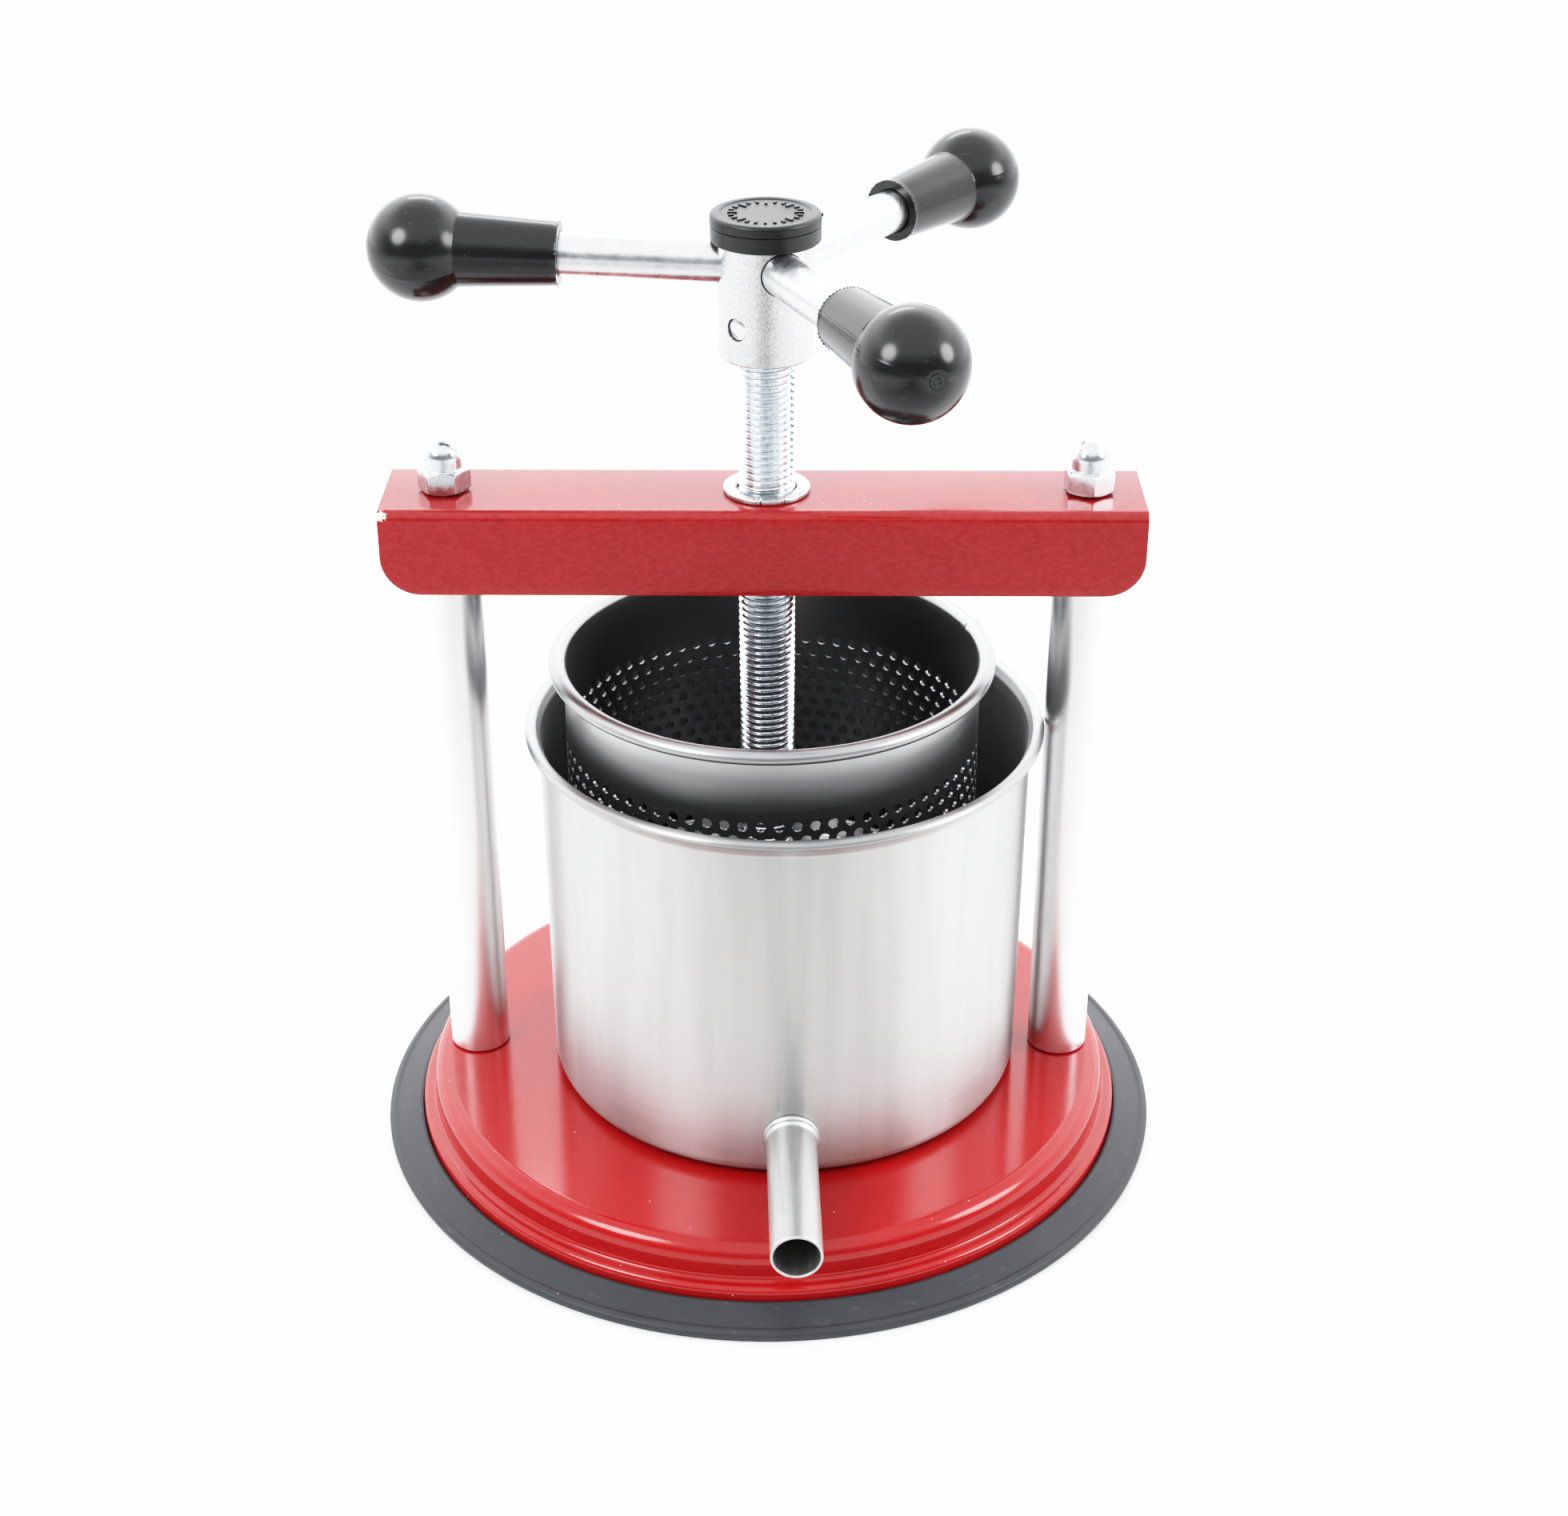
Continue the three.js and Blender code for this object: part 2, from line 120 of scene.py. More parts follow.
def join(bm, a, b, segments):
    """Fills the band between two rings; a ring of one vertex is a point on the axis."""
    for j in range(segments):
        k = (j + 1) % segments
        corners = [a[j % len(a)], a[k % len(a)], b[k % len(b)], b[j % len(b)]]
        face = list(dict.fromkeys(corners))
        if len(face) > 2:
            bm.faces.new(face)


def lathe(profile, segments=128, closed=False, shift=None):
    """A bmesh turned about Z. The profile runs outwards along the bottom, then up, then in."""
    bm = bmesh.new()
    rings = []
    for p in supported(rounded(profile, closed), closed):
        if p.x < 1e-6:
            rings.append([bm.verts.new((0, 0, p.y))])
            continue
        ring = []
        for j in range(segments):
            a = TURN * j / segments
            r, z = shift(a, p.x, p.y) if shift else (p.x, p.y)
            ring.append(bm.verts.new((r * math.cos(a), r * math.sin(a), z)))
        rings.append(ring)
    pairs = list(zip(rings, rings[1:]))
    if closed:
        pairs.append((rings[-1], rings[0]))
    for a, b in pairs:
        join(bm, a, b, segments)
    return bm


def rod(radius, bottom, top, segments, round_bottom=0.0, round_top=0.0):
    """A solid round bar along Z."""
    profile = [(0, bottom), (radius, bottom, round_bottom), (radius, top, round_top), (0, top)]
    return lathe(profile, segments)


def add_mesh(bm, other):
    """Adds another bmesh to this one and frees it."""
    mesh = bpy.data.meshes.new("part")
    other.to_mesh(mesh)
    other.free()
    bm.from_mesh(mesh)
    bpy.data.meshes.remove(mesh)


def outwards(angle, rise, height):
    """Turns something made along +Z to point along a horizontal direction, raised by `rise`."""
    turn = Matrix.Rotation(math.radians(angle), 4, "Z")
    tip = Matrix.Rotation(math.pi / 2 - math.radians(rise), 4, "Y")
    return Matrix.Translation((0, 0, height)) @ turn @ tip


def make(name, bm, matrix=None):
    """A mesh object in metres from a bmesh in millimetres."""
    if matrix is not None:
        bm.transform(matrix)
    bm.transform(Matrix.Scale(MM, 4))
    bmesh.ops.recalc_face_normals(bm, faces=bm.faces)
    mesh = bpy.data.meshes.new(name)
    bm.to_mesh(mesh)
    bm.free()
    obj = bpy.data.objects.new(name, mesh)
    scene.collection.objects.link(obj)
    return obj


def modify(obj, kind, **settings):
    """Adds a modifier and applies it at once."""
    modifier = obj.modifiers.new(kind, kind)
    for key, value in settings.items():
        setattr(modifier, key, value)
    graph = bpy.context.evaluated_depsgraph_get()
    mesh = bpy.data.meshes.new_from_object(obj.evaluated_get(graph))
    obj.modifiers.clear()
    old, obj.data = obj.data, mesh
    bpy.data.meshes.remove(old)
    mesh.name = obj.name


def soften(obj, width, segments, angle):
    """Bevels the edges that are sharper than an angle. The width is in millimetres."""
    modify(
        obj,
        "BEVEL",
        width=width * MM,
        segments=segments,
        limit_method="ANGLE",
        angle_limit=math.radians(angle),
    )


def carve(obj, *cutters):
    """Subtracts each cutter and deletes it."""
    for cutter in cutters:
        modify(obj, "BOOLEAN", operation="DIFFERENCE", solver="EXACT", object=cutter)
        bpy.data.meshes.remove(cutter.data)


def piece(obj, body, finish, slot, *nodes, sharp=32):
    """Shades a finished shape, gives it its material and ties it to the frame."""
    mesh = obj.data
    mesh.materials.clear()
    mesh.materials.append(finish)
    mesh.polygons.foreach_set("use_smooth", [True] * len(mesh.polygons))
    mesh.set_sharp_from_angle(angle=math.radians(sharp))
    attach(obj, body)
    if nodes:
        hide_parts(*nodes)


# -------------------------------------------------------------------------------- materials


class Finish:
    """A Principled material with short helpers for procedural detail."""

    def __init__(self, name, **sockets):
        self.material = bpy.data.materials.new(name)
        self.material.use_nodes = True
        self.tree = self.material.node_tree
        self.shader = self.tree.nodes["Principled BSDF"]
        self.place = self.node("ShaderNodeTexCoord").outputs["Object"]
        for key, value in sockets.items():
            self.shader.inputs[key.replace("_", " ")].default_value = value

    def node(self, kind, **settings):
        """A new shader node with its settings."""
        made = self.tree.nodes.new(kind)
        for key, value in settings.items():
            setattr(made, key, value)
        return made

    def feed(self, socket, value):
        """Links another socket to this one, or sets a plain value."""
        if isinstance(value, bpy.types.NodeSocket):
            self.tree.links.new(value, socket)
        else:
            socket.default_value = value

    def stretched(self, x, y, z):
        """Object coordinates scaled along each axis."""
        mapping = self.node("ShaderNodeMapping")
        self.feed(mapping.inputs["Vector"], self.place)
        mapping.inputs["Scale"].default_value = (x, y, z)
        return mapping.outputs["Vector"]

    def noise(self, scale, detail=2.0, place=None, roughness=0.5, distortion=0.0):
        """A noise field, with the scale in waves per metre unless the place is stretched."""
        made = self.node("ShaderNodeTexNoise")
        self.feed(made.inputs["Vector"], self.place if place is None else place)
        made.inputs["Scale"].default_value = scale
        made.inputs["Detail"].default_value = detail
        made.inputs["Roughness"].default_value = roughness
        made.inputs["Distortion"].default_value = distortion
        return made.outputs["Fac"]

    def cells(self, scale):
        """Distance to the nearest of many scattered points, in cell widths."""
        made = self.node("ShaderNodeTexVoronoi", feature="F1")
        self.feed(made.inputs["Vector"], self.place)
        made.inputs["Scale"].default_value = scale
        return made.outputs["Distance"]

    def fit(self, value, a, b, c=0.0, d=1.0):
        """Maps a..b to c..d and clamps."""
        made = self.node("ShaderNodeMapRange")
        self.feed(made.inputs["Value"], value)
        made.inputs["From Min"].default_value = a
        made.inputs["From Max"].default_value = b
        made.inputs["To Min"].default_value = c
        made.inputs["To Max"].default_value = d
        return made.outputs["Result"]

    def math(self, operation, a, b=0.0):
        made = self.node("ShaderNodeMath", operation=operation)
        self.feed(made.inputs[0], a)
        self.feed(made.inputs[1], b)
        return made.outputs[0]

    def mix(self, share, a, b):
        """Mixes two colours."""
        made = self.node("ShaderNodeMix", data_type="RGBA")
        self.feed(made.inputs["Factor"], share)
        for name, colour in (("A", a), ("B", b)):
            socket = [s for s in made.inputs if s.name == name and s.type == "RGBA"][0]
            self.feed(socket, (*colour, 1) if isinstance(colour, tuple) else colour)
        return [s for s in made.outputs if s.type == "RGBA"][0]

    def near(self, point, radius):
        """1 at a point in metres, falling to 0 at the radius."""
        made = self.node("ShaderNodeVectorMath", operation="DISTANCE")
        self.feed(made.inputs[0], self.place)
        made.inputs[1].default_value = point
        return self.fit(made.outputs["Value"], 0.0, radius, 1.0, 0.0)

    def axis(self, name):
        """One of the object's coordinates: X, Y or Z, in metres."""
        made = self.node("ShaderNodeSeparateXYZ")
        self.feed(made.inputs[0], self.place)
        return made.outputs[name]

    def from_axis(self, x, y=0.0):
        """Distance from an upright axis, in metres."""
        away = self.node("ShaderNodeVectorMath", operation="SUBTRACT")
        self.feed(away.inputs[0], self.place)
        away.inputs[1].default_value = (x, y, 0.0)
        level = self.node("ShaderNodeVectorMath", operation="MULTIPLY")
        self.feed(level.inputs[0], away.outputs[0])
        level.inputs[1].default_value = (1.0, 1.0, 0.0)
        far = self.node("ShaderNodeVectorMath", operation="LENGTH")
        self.feed(far.inputs[0], level.outputs[0])
        return far.outputs["Value"]

    def bump(self, height, depth, under=None):
        """A bump of the given depth in metres."""
        made = self.node("ShaderNodeBump")
        made.inputs["Strength"].default_value = 1.0
        made.inputs["Distance"].default_value = depth
        self.feed(made.inputs["Height"], height)
        if under is not None:
            self.feed(made.inputs["Normal"], under)
        return made.outputs["Normal"]

    def set(self, **sockets):
        for key, value in sockets.items():
            self.feed(self.shader.inputs[key.replace("_", " ")], value)


NUT_CRACK = 0.0073  # radius of the cracked paint round a cap nut, in metres


def red_enamel(name, tones, wrinkle, peel_sheen, rough, chips=(), nut_axes=()):
    """Glossy red powder coat: orange peel with a painted sheen of lighter dapples, dust specks, bare
    chips, and a crack round each nut.
    """
    f = Finish(name, Metallic=0.0, IOR=1.49)
    tone = f.mix(f.noise(60, 3), *tones)
    speck = f.math("LESS_THAN", f.cells(210), 0.04)
    some = f.math("GREATER_THAN", f.noise(90, 1), 0.59)
    dust = f.math("MULTIPLY", speck, some)
    tone = f.mix(f.math("MULTIPLY", dust, 0.8), tone, (0.85, 0.6, 0.6))
    bare = None
    for point, radius in chips:
        ragged = f.fit(f.noise(1500, 3), 0.3, 0.7, -0.35, 0.25)
        edge = f.math("ADD", f.near(point, radius), ragged)
        spot = f.fit(edge, 0.38, 0.46)
        bare = spot if bare is None else f.math("MAXIMUM", bare, spot)
    if bare is not None:
        tone = f.mix(bare, tone, (0.72, 0.70, 0.69))
    for x in nut_axes:
        uneven = f.fit(f.noise(700, 3), 0.3, 0.7, -0.0006, 0.0006)
        ring_at = f.math("ADD", f.from_axis(x), uneven)
        off = f.math("ABSOLUTE", f.math("SUBTRACT", ring_at, NUT_CRACK))
        tone = f.mix(f.fit(off, 0.0001, 0.0005, 0.85, 0.0), tone, (0.10, 0.002, 0.003))
    # Painted sheen: lighter pink dapples follow the orange peel and stand in for its uneven
    # reflections.
    peel = f.noise(1, 2.5, f.stretched(560, 680, 1000), roughness=0.5)
    tone = f.mix(f.fit(peel, 0.38, 0.62, 0.0, peel_sheen), tone, (0.42, 0.05, 0.055))
    fine = f.noise(1300, 2)
    normal = f.bump(fine, 0.0000035, f.bump(peel, wrinkle))
    f.set(Base_Color=tone, Roughness=f.fit(fine, 0.2, 0.8, *rough), Normal=normal)
    return f.material


def rubber(name):
    """Satin rubber with scuffs and a few light marks."""
    f = Finish(name, Metallic=0.0, IOR=1.38)
    patch = f.noise(45, 3)
    grain = f.noise(2600, 3)
    tone = f.mix(patch, (0.027, 0.0283, 0.0322), (0.043, 0.045, 0.0505))
    scuff = f.fit(f.noise(9, 4, f.stretched(20, 20, 140), 0.7), 0.6, 0.72)
    tone = f.mix(f.math("MULTIPLY", scuff, 0.35), tone, (0.11, 0.11, 0.118))
    mark = f.math("LESS_THAN", f.cells(160), 0.03)
    tone = f.mix(f.math("MULTIPLY", mark, 0.6), tone, (0.5, 0.5, 0.5))
    f.set(
        Base_Color=tone,
        Roughness=f.fit(patch, 0.2, 0.8, 0.36, 0.5),
        Normal=f.bump(grain, 0.00001),
    )
    return f.material


def drawn_tube(name):
    """Polished aluminium tube with fine lines along its length."""
    f = Finish(name, Metallic=1.0)
    lines = f.noise(1, 2, f.stretched(2600, 2600, 9))
    haze = f.noise(55, 3)
    tone = f.mix(lines, (0.80, 0.80, 0.81), (0.87, 0.87, 0.875))
    dot = f.math("LESS_THAN", f.cells(260), 0.028)
    tone = f.mix(f.math("MULTIPLY", dot, 0.6), tone, (0.35, 0.33, 0.33))
    f.set(
        Base_Color=tone,
        Roughness=f.fit(haze, 0.25, 0.75, 0.3, 0.4),
        Normal=f.bump(lines, 0.0000022),
    )
    return f.material


def zinc(name, dark, light, spangle, rough, grain=0.000006):
    """Bright zinc plate with a fine crystalline speckle."""
    f = Finish(name, Metallic=1.0)
    patch = f.noise(spangle, 3, roughness=0.65)
    wide = f.noise(110, 3)
    tone = f.mix(f.fit(patch, 0.35, 0.65), dark, light)
    grime = f.fit(wide, 0.55, 0.8)
    tone = f.mix(f.math("MULTIPLY", grime, 0.25), tone, (0.42, 0.43, 0.44))
    f.set(
        Base_Color=tone,
        Roughness=f.fit(patch, 0.3, 0.7, *rough),
        Normal=f.bump(patch, grain),
    )
    return f.material


# Painted shade: darker steel colours for a vessel's inside, its rim and the basket's lower wall.
SHADE_STEEL = (0.2, 0.2, 0.205)
RIM_SHADE_STEEL = (0.27, 0.27, 0.272)
LOWER_SHADE_BAND = (0.1452, 0.1506)  # heights between which the painted shade on the basket's wall fades out upwards
HEAT_MARKS = {"apart": 0.0065, "width": 0.005, "behind": 0.02, "from": 0.075, "to": 0.12}


def painted_vessel_shade(f, tone, centre, inner, taper, rim, shade_share, heat=False):
    """Paints shade into a steel vessel: a darker inside below the rim, a darker grey rim and, with
    heat, a darker lower wall; and adds two heat marks at the back.
    """
    # Painted shade: the inside below the rim is mixed towards a dark steel.
    upright = f.math("SUBTRACT", f.from_axis(centre), f.math("MULTIPLY", f.axis("Z"), taper))
    inside = f.math("LESS_THAN", upright, inner)
    below = f.fit(f.axis("Z"), rim, rim + 0.002, 1.0, 0.0)
    inside_shade = f.math("MULTIPLY", f.math("MULTIPLY", inside, below), shade_share)
    tone = f.mix(inside_shade, tone, SHADE_STEEL)
    # Painted shade: the rim and what lies above it turn a darker grey.
    rim_shade = f.fit(f.axis("Z"), rim - 0.0005, rim + 0.001, 0.0, 0.55)
    tone = f.mix(rim_shade, tone, RIM_SHADE_STEEL)
    if heat:
        # Painted shade: the basket's wall is darker below the band.
        lower = f.fit(f.axis("Z"), *LOWER_SHADE_BAND, 0.75, 0.0)
        tone = f.mix(lower, tone, SHADE_STEEL)
        x = f.math("ABSOLUTE", f.math("SUBTRACT", f.axis("X"), centre))
        off = f.math("ABSOLUTE", f.math("SUBTRACT", x, HEAT_MARKS["apart"]))
        across = f.fit(off, 0.0, HEAT_MARKS["width"], 1.0, 0.0)
        back = f.math("GREATER_THAN", f.axis("Y"), HEAT_MARKS["behind"])
        tall = f.fit(f.axis("Z"), HEAT_MARKS["from"], HEAT_MARKS["to"])
        scorch = f.math("MULTIPLY", f.math("MULTIPLY", across, back), tall)
        scorch = f.math("MULTIPLY", scorch, f.fit(f.noise(220, 2), 0.3, 0.65))
        tone = f.mix(f.math("MULTIPLY", scorch, 0.75), tone, (0.30, 0.19, 0.11))
    return tone


def brushed(
    name, tone_a, tone_b, rough, anisotropic=0.7, around=True, lines=0.000002, streaks=0.1, vessel=None
):
    """Stainless steel with fine brush lines, round its axis or lengthwise, and faint streaks."""
    f = Finish(name, Metallic=1.0, Anisotropic=anisotropic, Anisotropic_Rotation=0.25)
    tangent = f.node("ShaderNodeTangent", direction_type="RADIAL", axis="Z")
    place = f.stretched(45, 45, 3200) if around else f.stretched(700, 45, 700)
    fine = f.noise(1, 3, place, 0.6)
    wide = f.noise(1, 3, f.stretched(160, 160, 12))
    smudge = f.noise(30, 3)
    tone = f.mix(f.fit(fine, 0.25, 0.75), tone_a, tone_b)
    stain = f.math("MULTIPLY", f.fit(smudge, 0.56, 0.8), 0.16)
    tone = f.mix(stain, tone, (0.44, 0.42, 0.40))
    tone = f.mix(f.math("MULTIPLY", f.fit(wide, 0.44, 0.64), streaks), tone, (0.36, 0.36, 0.365))
    if vessel:
        tone = painted_vessel_shade(f, tone, **vessel)
    f.set(
        Base_Color=tone,
        Roughness=f.fit(fine, 0.25, 0.75, *rough),
        Normal=f.bump(fine, lines),
        Tangent=tangent.outputs[0],
    )
    return f.material


def moulded_black(name, rough, peel, scratches):
    """Moulded black plastic with dust and hair scratches."""
    f = Finish(name, Metallic=0.0, IOR=1.5)
    patch = f.noise(70, 3)
    tone = f.mix(patch, (0.004, 0.004, 0.0048), (0.009, 0.009, 0.0105))
    hair = f.fit(f.noise(1, 2, f.stretched(140, 1400, 900), distortion=0.8), 0.68, 0.72)
    hair_b = f.fit(f.noise(1, 2, f.stretched(1300, 160, 1000), distortion=0.8), 0.69, 0.73)
    hair = f.math("MULTIPLY", f.math("MAXIMUM", hair, hair_b), scratches)
    dust = f.math("LESS_THAN", f.cells(420), 0.045)
    dust = f.math("MULTIPLY", dust, f.math("GREATER_THAN", f.noise(120, 1), 0.58))
    tone = f.mix(hair, tone, (0.05, 0.05, 0.055))
    tone = f.mix(f.math("MULTIPLY", dust, 0.4), tone, (0.3, 0.3, 0.3))
    grain = f.noise(1700, 2)
    normal = f.bump(hair, -0.000006, f.bump(grain, peel))
    f.set(
        Base_Color=tone,
        Roughness=f.math("ADD", f.fit(patch, 0.2, 0.8, *rough), f.math("MULTIPLY", hair, 0.2)),
        Normal=normal,
    )
    return f.material


SPACING = 180.0  # between the columns' axes
CHIP = (low("crossbeam").x + 1.0, low("crossbeam").y + 1.2, high("crossbeam").z - 1.5)
# Painted shade: the beam's red is the same enamel as the pan's, painted darker for the beam's less lit
# faces.
BEAM_SHADED_TONES = ((0.22, 0.0045, 0.0055), (0.26, 0.007, 0.008))
PAN_TONES = ((0.285, 0.0035, 0.004), (0.33, 0.005, 0.006))
BEAM_RED = red_enamel(
    "red_enamel_beam",
    BEAM_SHADED_TONES,
    0.000055,
    0.14,
    (0.14, 0.22),
    ((Vector(CHIP) * MM, 0.0028),),
    (-SPACING / 2 * MM, SPACING / 2 * MM),
)
PAN_RED = red_enamel("red_enamel_base", PAN_TONES, 0.000016, 0.06, (0.11, 0.17))
RUBBER = rubber("grey_rubber")
TUBE = drawn_tube("drawn_aluminium")
ZINC = zinc("bright_zinc", (0.54, 0.57, 0.60), (0.68, 0.705, 0.725), 550, (0.16, 0.28), 0.000002)
ROD_ZINC = zinc("drawn_zinc", (0.60, 0.625, 0.64), (0.72, 0.74, 0.755), 260, (0.24, 0.34), 0.000002)
HUB_ZINC = zinc("speckled_zinc", (0.42, 0.43, 0.435), (0.72, 0.73, 0.735), 1900, (0.24, 0.38))
SCREW_ZINC = zinc("screw_zinc", (0.62, 0.68, 0.72), (0.80, 0.84, 0.87), 900, (0.12, 0.24))
POT_STEEL = brushed(
    "brushed_pot",
    (0.485, 0.485, 0.482),
    (0.545, 0.545, 0.542),
    (0.33, 0.42),
    0.8,
    lines=0.0000008,
    streaks=0.26,
    vessel={"centre": 0.005, "inner": 0.0702, "taper": 0.0102, "rim": 0.1318, "shade_share": 0.55},
)
BASKET_STEEL = brushed(
    "basket_steel",
    (0.43, 0.43, 0.435),
    (0.50, 0.50, 0.50),
    (0.28, 0.38),
    0.35,
    lines=0.0000008,
    vessel={
        "centre": 0.0014,
        "inner": 0.0601,
        "taper": 0.0,
        "rim": 0.1515,
        "shade_share": 0.8,
        "heat": True,
    },
)
SPOUT_STEEL = brushed(
    "spout_steel", (0.46, 0.46, 0.46), (0.54, 0.54, 0.535), (0.4, 0.5), 0.0, around=False
)
PLATE_STEEL = brushed(
    "plate_steel", (0.55, 0.55, 0.55), (0.61, 0.61, 0.61), (0.27, 0.33), lines=0.0000003
)
GRIP_BLACK = moulded_black("gloss_black", (0.16, 0.23), 0.000003, 0.4)
CAP_BLACK = moulded_black("satin_black", (0.34, 0.42), 0.000006, 0.15)

# ------------------------------------------------------------------------------------- base

RING = {"outer": 118.8, "inner": 101.0, "groove": 107.8}
PAN = {"top": 20.7, "sheet": 2.0, "shoulder": 104.0, "round": 7.0, "ledge": 9.6, "skirt": 107.8}

ring = lathe(
    [
        (RING["inner"], 0.0, 0.4),
        (RING["outer"] - 0.7, 0.0, 0.5),
        (RING["outer"] - 0.3, 1.15, 0.25),
        (RING["outer"], 1.5, 0.3),
        (RING["outer"], 2.7, 0.8),
        (RING["outer"] - 1.6, 3.5, 1.0),
        (RING["outer"] - 2.6, 3.3, 0.8),
        (RING["groove"] + 1.3, 6.2, 0.5),
        (RING["groove"] + 0.3, 6.0, 0.25),
        (RING["groove"] + 0.3, 2.0),
        (RING["groove"] - 2.3, 2.0),
        (RING["groove"] - 2.3, 6.3, 0.4),
        (RING["inner"] + 0.4, 6.3, 1.0),
        (RING["inner"], 4.6, 0.5),
    ],
    256,
    closed=True,
)
piece(make("rubber_ring", ring), "frame", RUBBER, "rubber", "base_ring")

top, sheet = PAN["top"], PAN["sheet"]
pan = lathe(
    [
        (0.0, top - sheet),
        (PAN["shoulder"] - sheet, top - sheet, PAN["round"] - sheet),
        (PAN["shoulder"] - sheet, PAN["ledge"] - sheet, 1.0),
        (PAN["skirt"] - sheet, PAN["ledge"] - sheet, 0.3),
        (PAN["skirt"] - sheet, 2.3),
        (PAN["skirt"], 2.3),
        (PAN["skirt"], PAN["ledge"], 1.9),
        (PAN["shoulder"] - 0.2, PAN["ledge"] + 0.1, 1.6),
        (PAN["shoulder"], top, PAN["round"]),
        (0.0, top),
    ],
    256,
)
pan = make("base_pan_pressed", pan)
STUD_HOLE = 4.5
stud_holes = [
    make("stud_hole", rod(STUD_HOLE, 0, 30, 48), Matrix.Translation((x, 0, 0)))
    for x in (-SPACING / 2, SPACING / 2)
]
carve(pan, *stud_holes)
piece(pan, "frame", PAN_RED, "red_enamel", "base_pan")

# ------------------------------------------------------------------------- beam and columns

BEAM = {"depth": 24.7, "sheet": 2.5, "bend": 3.0, "corner": 11.0}


def beam_sheet():
    """The beam's outer skin: one sheet folded down at both long edges, lower corners rounded."""
    lo, hi = low("crossbeam"), high("crossbeam")
    bend, corner, depth = BEAM["bend"], BEAM["corner"], BEAM["depth"]
    columns = []
    for k in range(13):
        a = math.pi / 2 * k / 12
        columns.append((corner * (1 - math.cos(a)), corner * (1 - math.sin(a))))
    length = hi.x - lo.x
    left = [(lo.x + d, up) for d, up in columns]
    middle = [(lo.x + corner + (length - 2 * corner) * k / 10, 0.0) for k in range(1, 10)]
    right = [(hi.x - d, up) for d, up in reversed(columns)]
    bm = bmesh.new()
    rows = []
    for x, up in left + middle + right:
        bottom = hi.z - depth + up
        bend_foot = hi.z - bend
        half = []
        for k in range(8):
            half.append((lo.y, bottom + (bend_foot - bottom) * k / 8))
        for k in range(9):
            a = math.pi - math.pi / 2 * k / 8
            half.append((lo.y + bend + bend * math.cos(a), bend_foot + bend * math.sin(a)))
        mirror = [(-y + lo.y + hi.y, z) for y, z in reversed(half)]
        rows.append([bm.verts.new((x, y, z)) for y, z in half + mirror])
    for a, b in zip(rows, rows[1:]):
        for k in range(len(a) - 1):
            bm.faces.new((a[k], b[k], b[k + 1], a[k + 1]))
    bmesh.ops.remove_doubles(bm, verts=bm.verts, dist=0.001)
    return bm


def out_of(obj, centre):
    """Makes an open sheet's normals point away from a point."""
    flip = sum(
        (p.center - Vector(centre)).dot(p.normal) * p.area for p in obj.data.polygons
    ) < 0
    if flip:
        obj.data.flip_normals()


beam = make("crossbeam_channel", beam_sheet())
out_of(beam, (0, 0, low("crossbeam").z * MM))
modify(beam, "SOLIDIFY", thickness=BEAM["sheet"] * MM, offset=-1, use_even_offset=True)
soften(beam, 0.45, 3, 50)
piece(beam, "frame", BEAM_RED, "red_enamel", "crossbeam")


def hex_radius(angle, flats):
    """Distance from the axis to a hexagon's side at an angle; 0 faces a flat."""
    part = (angle + math.pi / 6) % (math.pi / 3) - math.pi / 6
    return flats / 2 / math.cos(part)


M8 = {"flats": 13.0, "height": 6.5, "chamfer_from": 6.15, "bore": 3.6, "blind": 11.0}


def hex_nut(turn, top_profile, segments=120):
    """An M8 hexagon nut with its corners turned down at both ends. top_profile goes from the
    hexagon's top face to the axis, over a blind hole, or to the bore."""
    height, chamfer_from, bore = M8["height"], M8["chamfer_from"], M8["bore"]
    bm = bmesh.new()
    fall = math.tan(math.radians(28))
    rings = []

    def ring(points):
        rings.append([bm.verts.new(p) for p in points])

    def turned(radius_at, z_at):
        out = []
        for j in range(segments):
            a = TURN * j / segments
            r = radius_at(a)
            spin = a + math.radians(turn)
            out.append((r * math.cos(spin), r * math.sin(spin), z_at(r)))
        return out

    def outline(a):
        return hex_radius(a, M8["flats"])

    def cut(r):
        return max(0.0, r - chamfer_from) * fall

    ring(turned(lambda a: bore, lambda r: 0.0))
    ring(turned(lambda a: chamfer_from - 0.3, lambda r: 0.0))
    ring(turned(lambda a: min(chamfer_from, outline(a)), lambda r: 0.0))
    ring(turned(outline, cut))
    for share in (0.12, 0.5, 0.88):
        ring(turned(outline, lambda r: cut(r) + (height - 2 * cut(r)) * share))
    ring(turned(outline, lambda r: height - cut(r)))
    ring(turned(lambda a: min(chamfer_from, outline(a)), lambda r: height))
    for r0, z0 in top_profile:
        if r0 < 1e-6:
            rings.append([bm.verts.new((0, 0, z0))])
        else:
            ring(turned(lambda a: r0, lambda r: z0))
    open_through = top_profile[-1][0] > 0
    for a, b in zip(rings, rings[1:] + rings[:1] if open_through else rings[1:]):
        join(bm, a, b, segments)
    if not open_through:
        straight = [bm.verts.new(p) for p in turned(lambda a: bore, lambda r: M8["blind"] - 2)]
        join(bm, rings[0], straight, segments)
        join(bm, straight, [bm.verts.new((0, 0, M8["blind"]))], segments)
    return bm


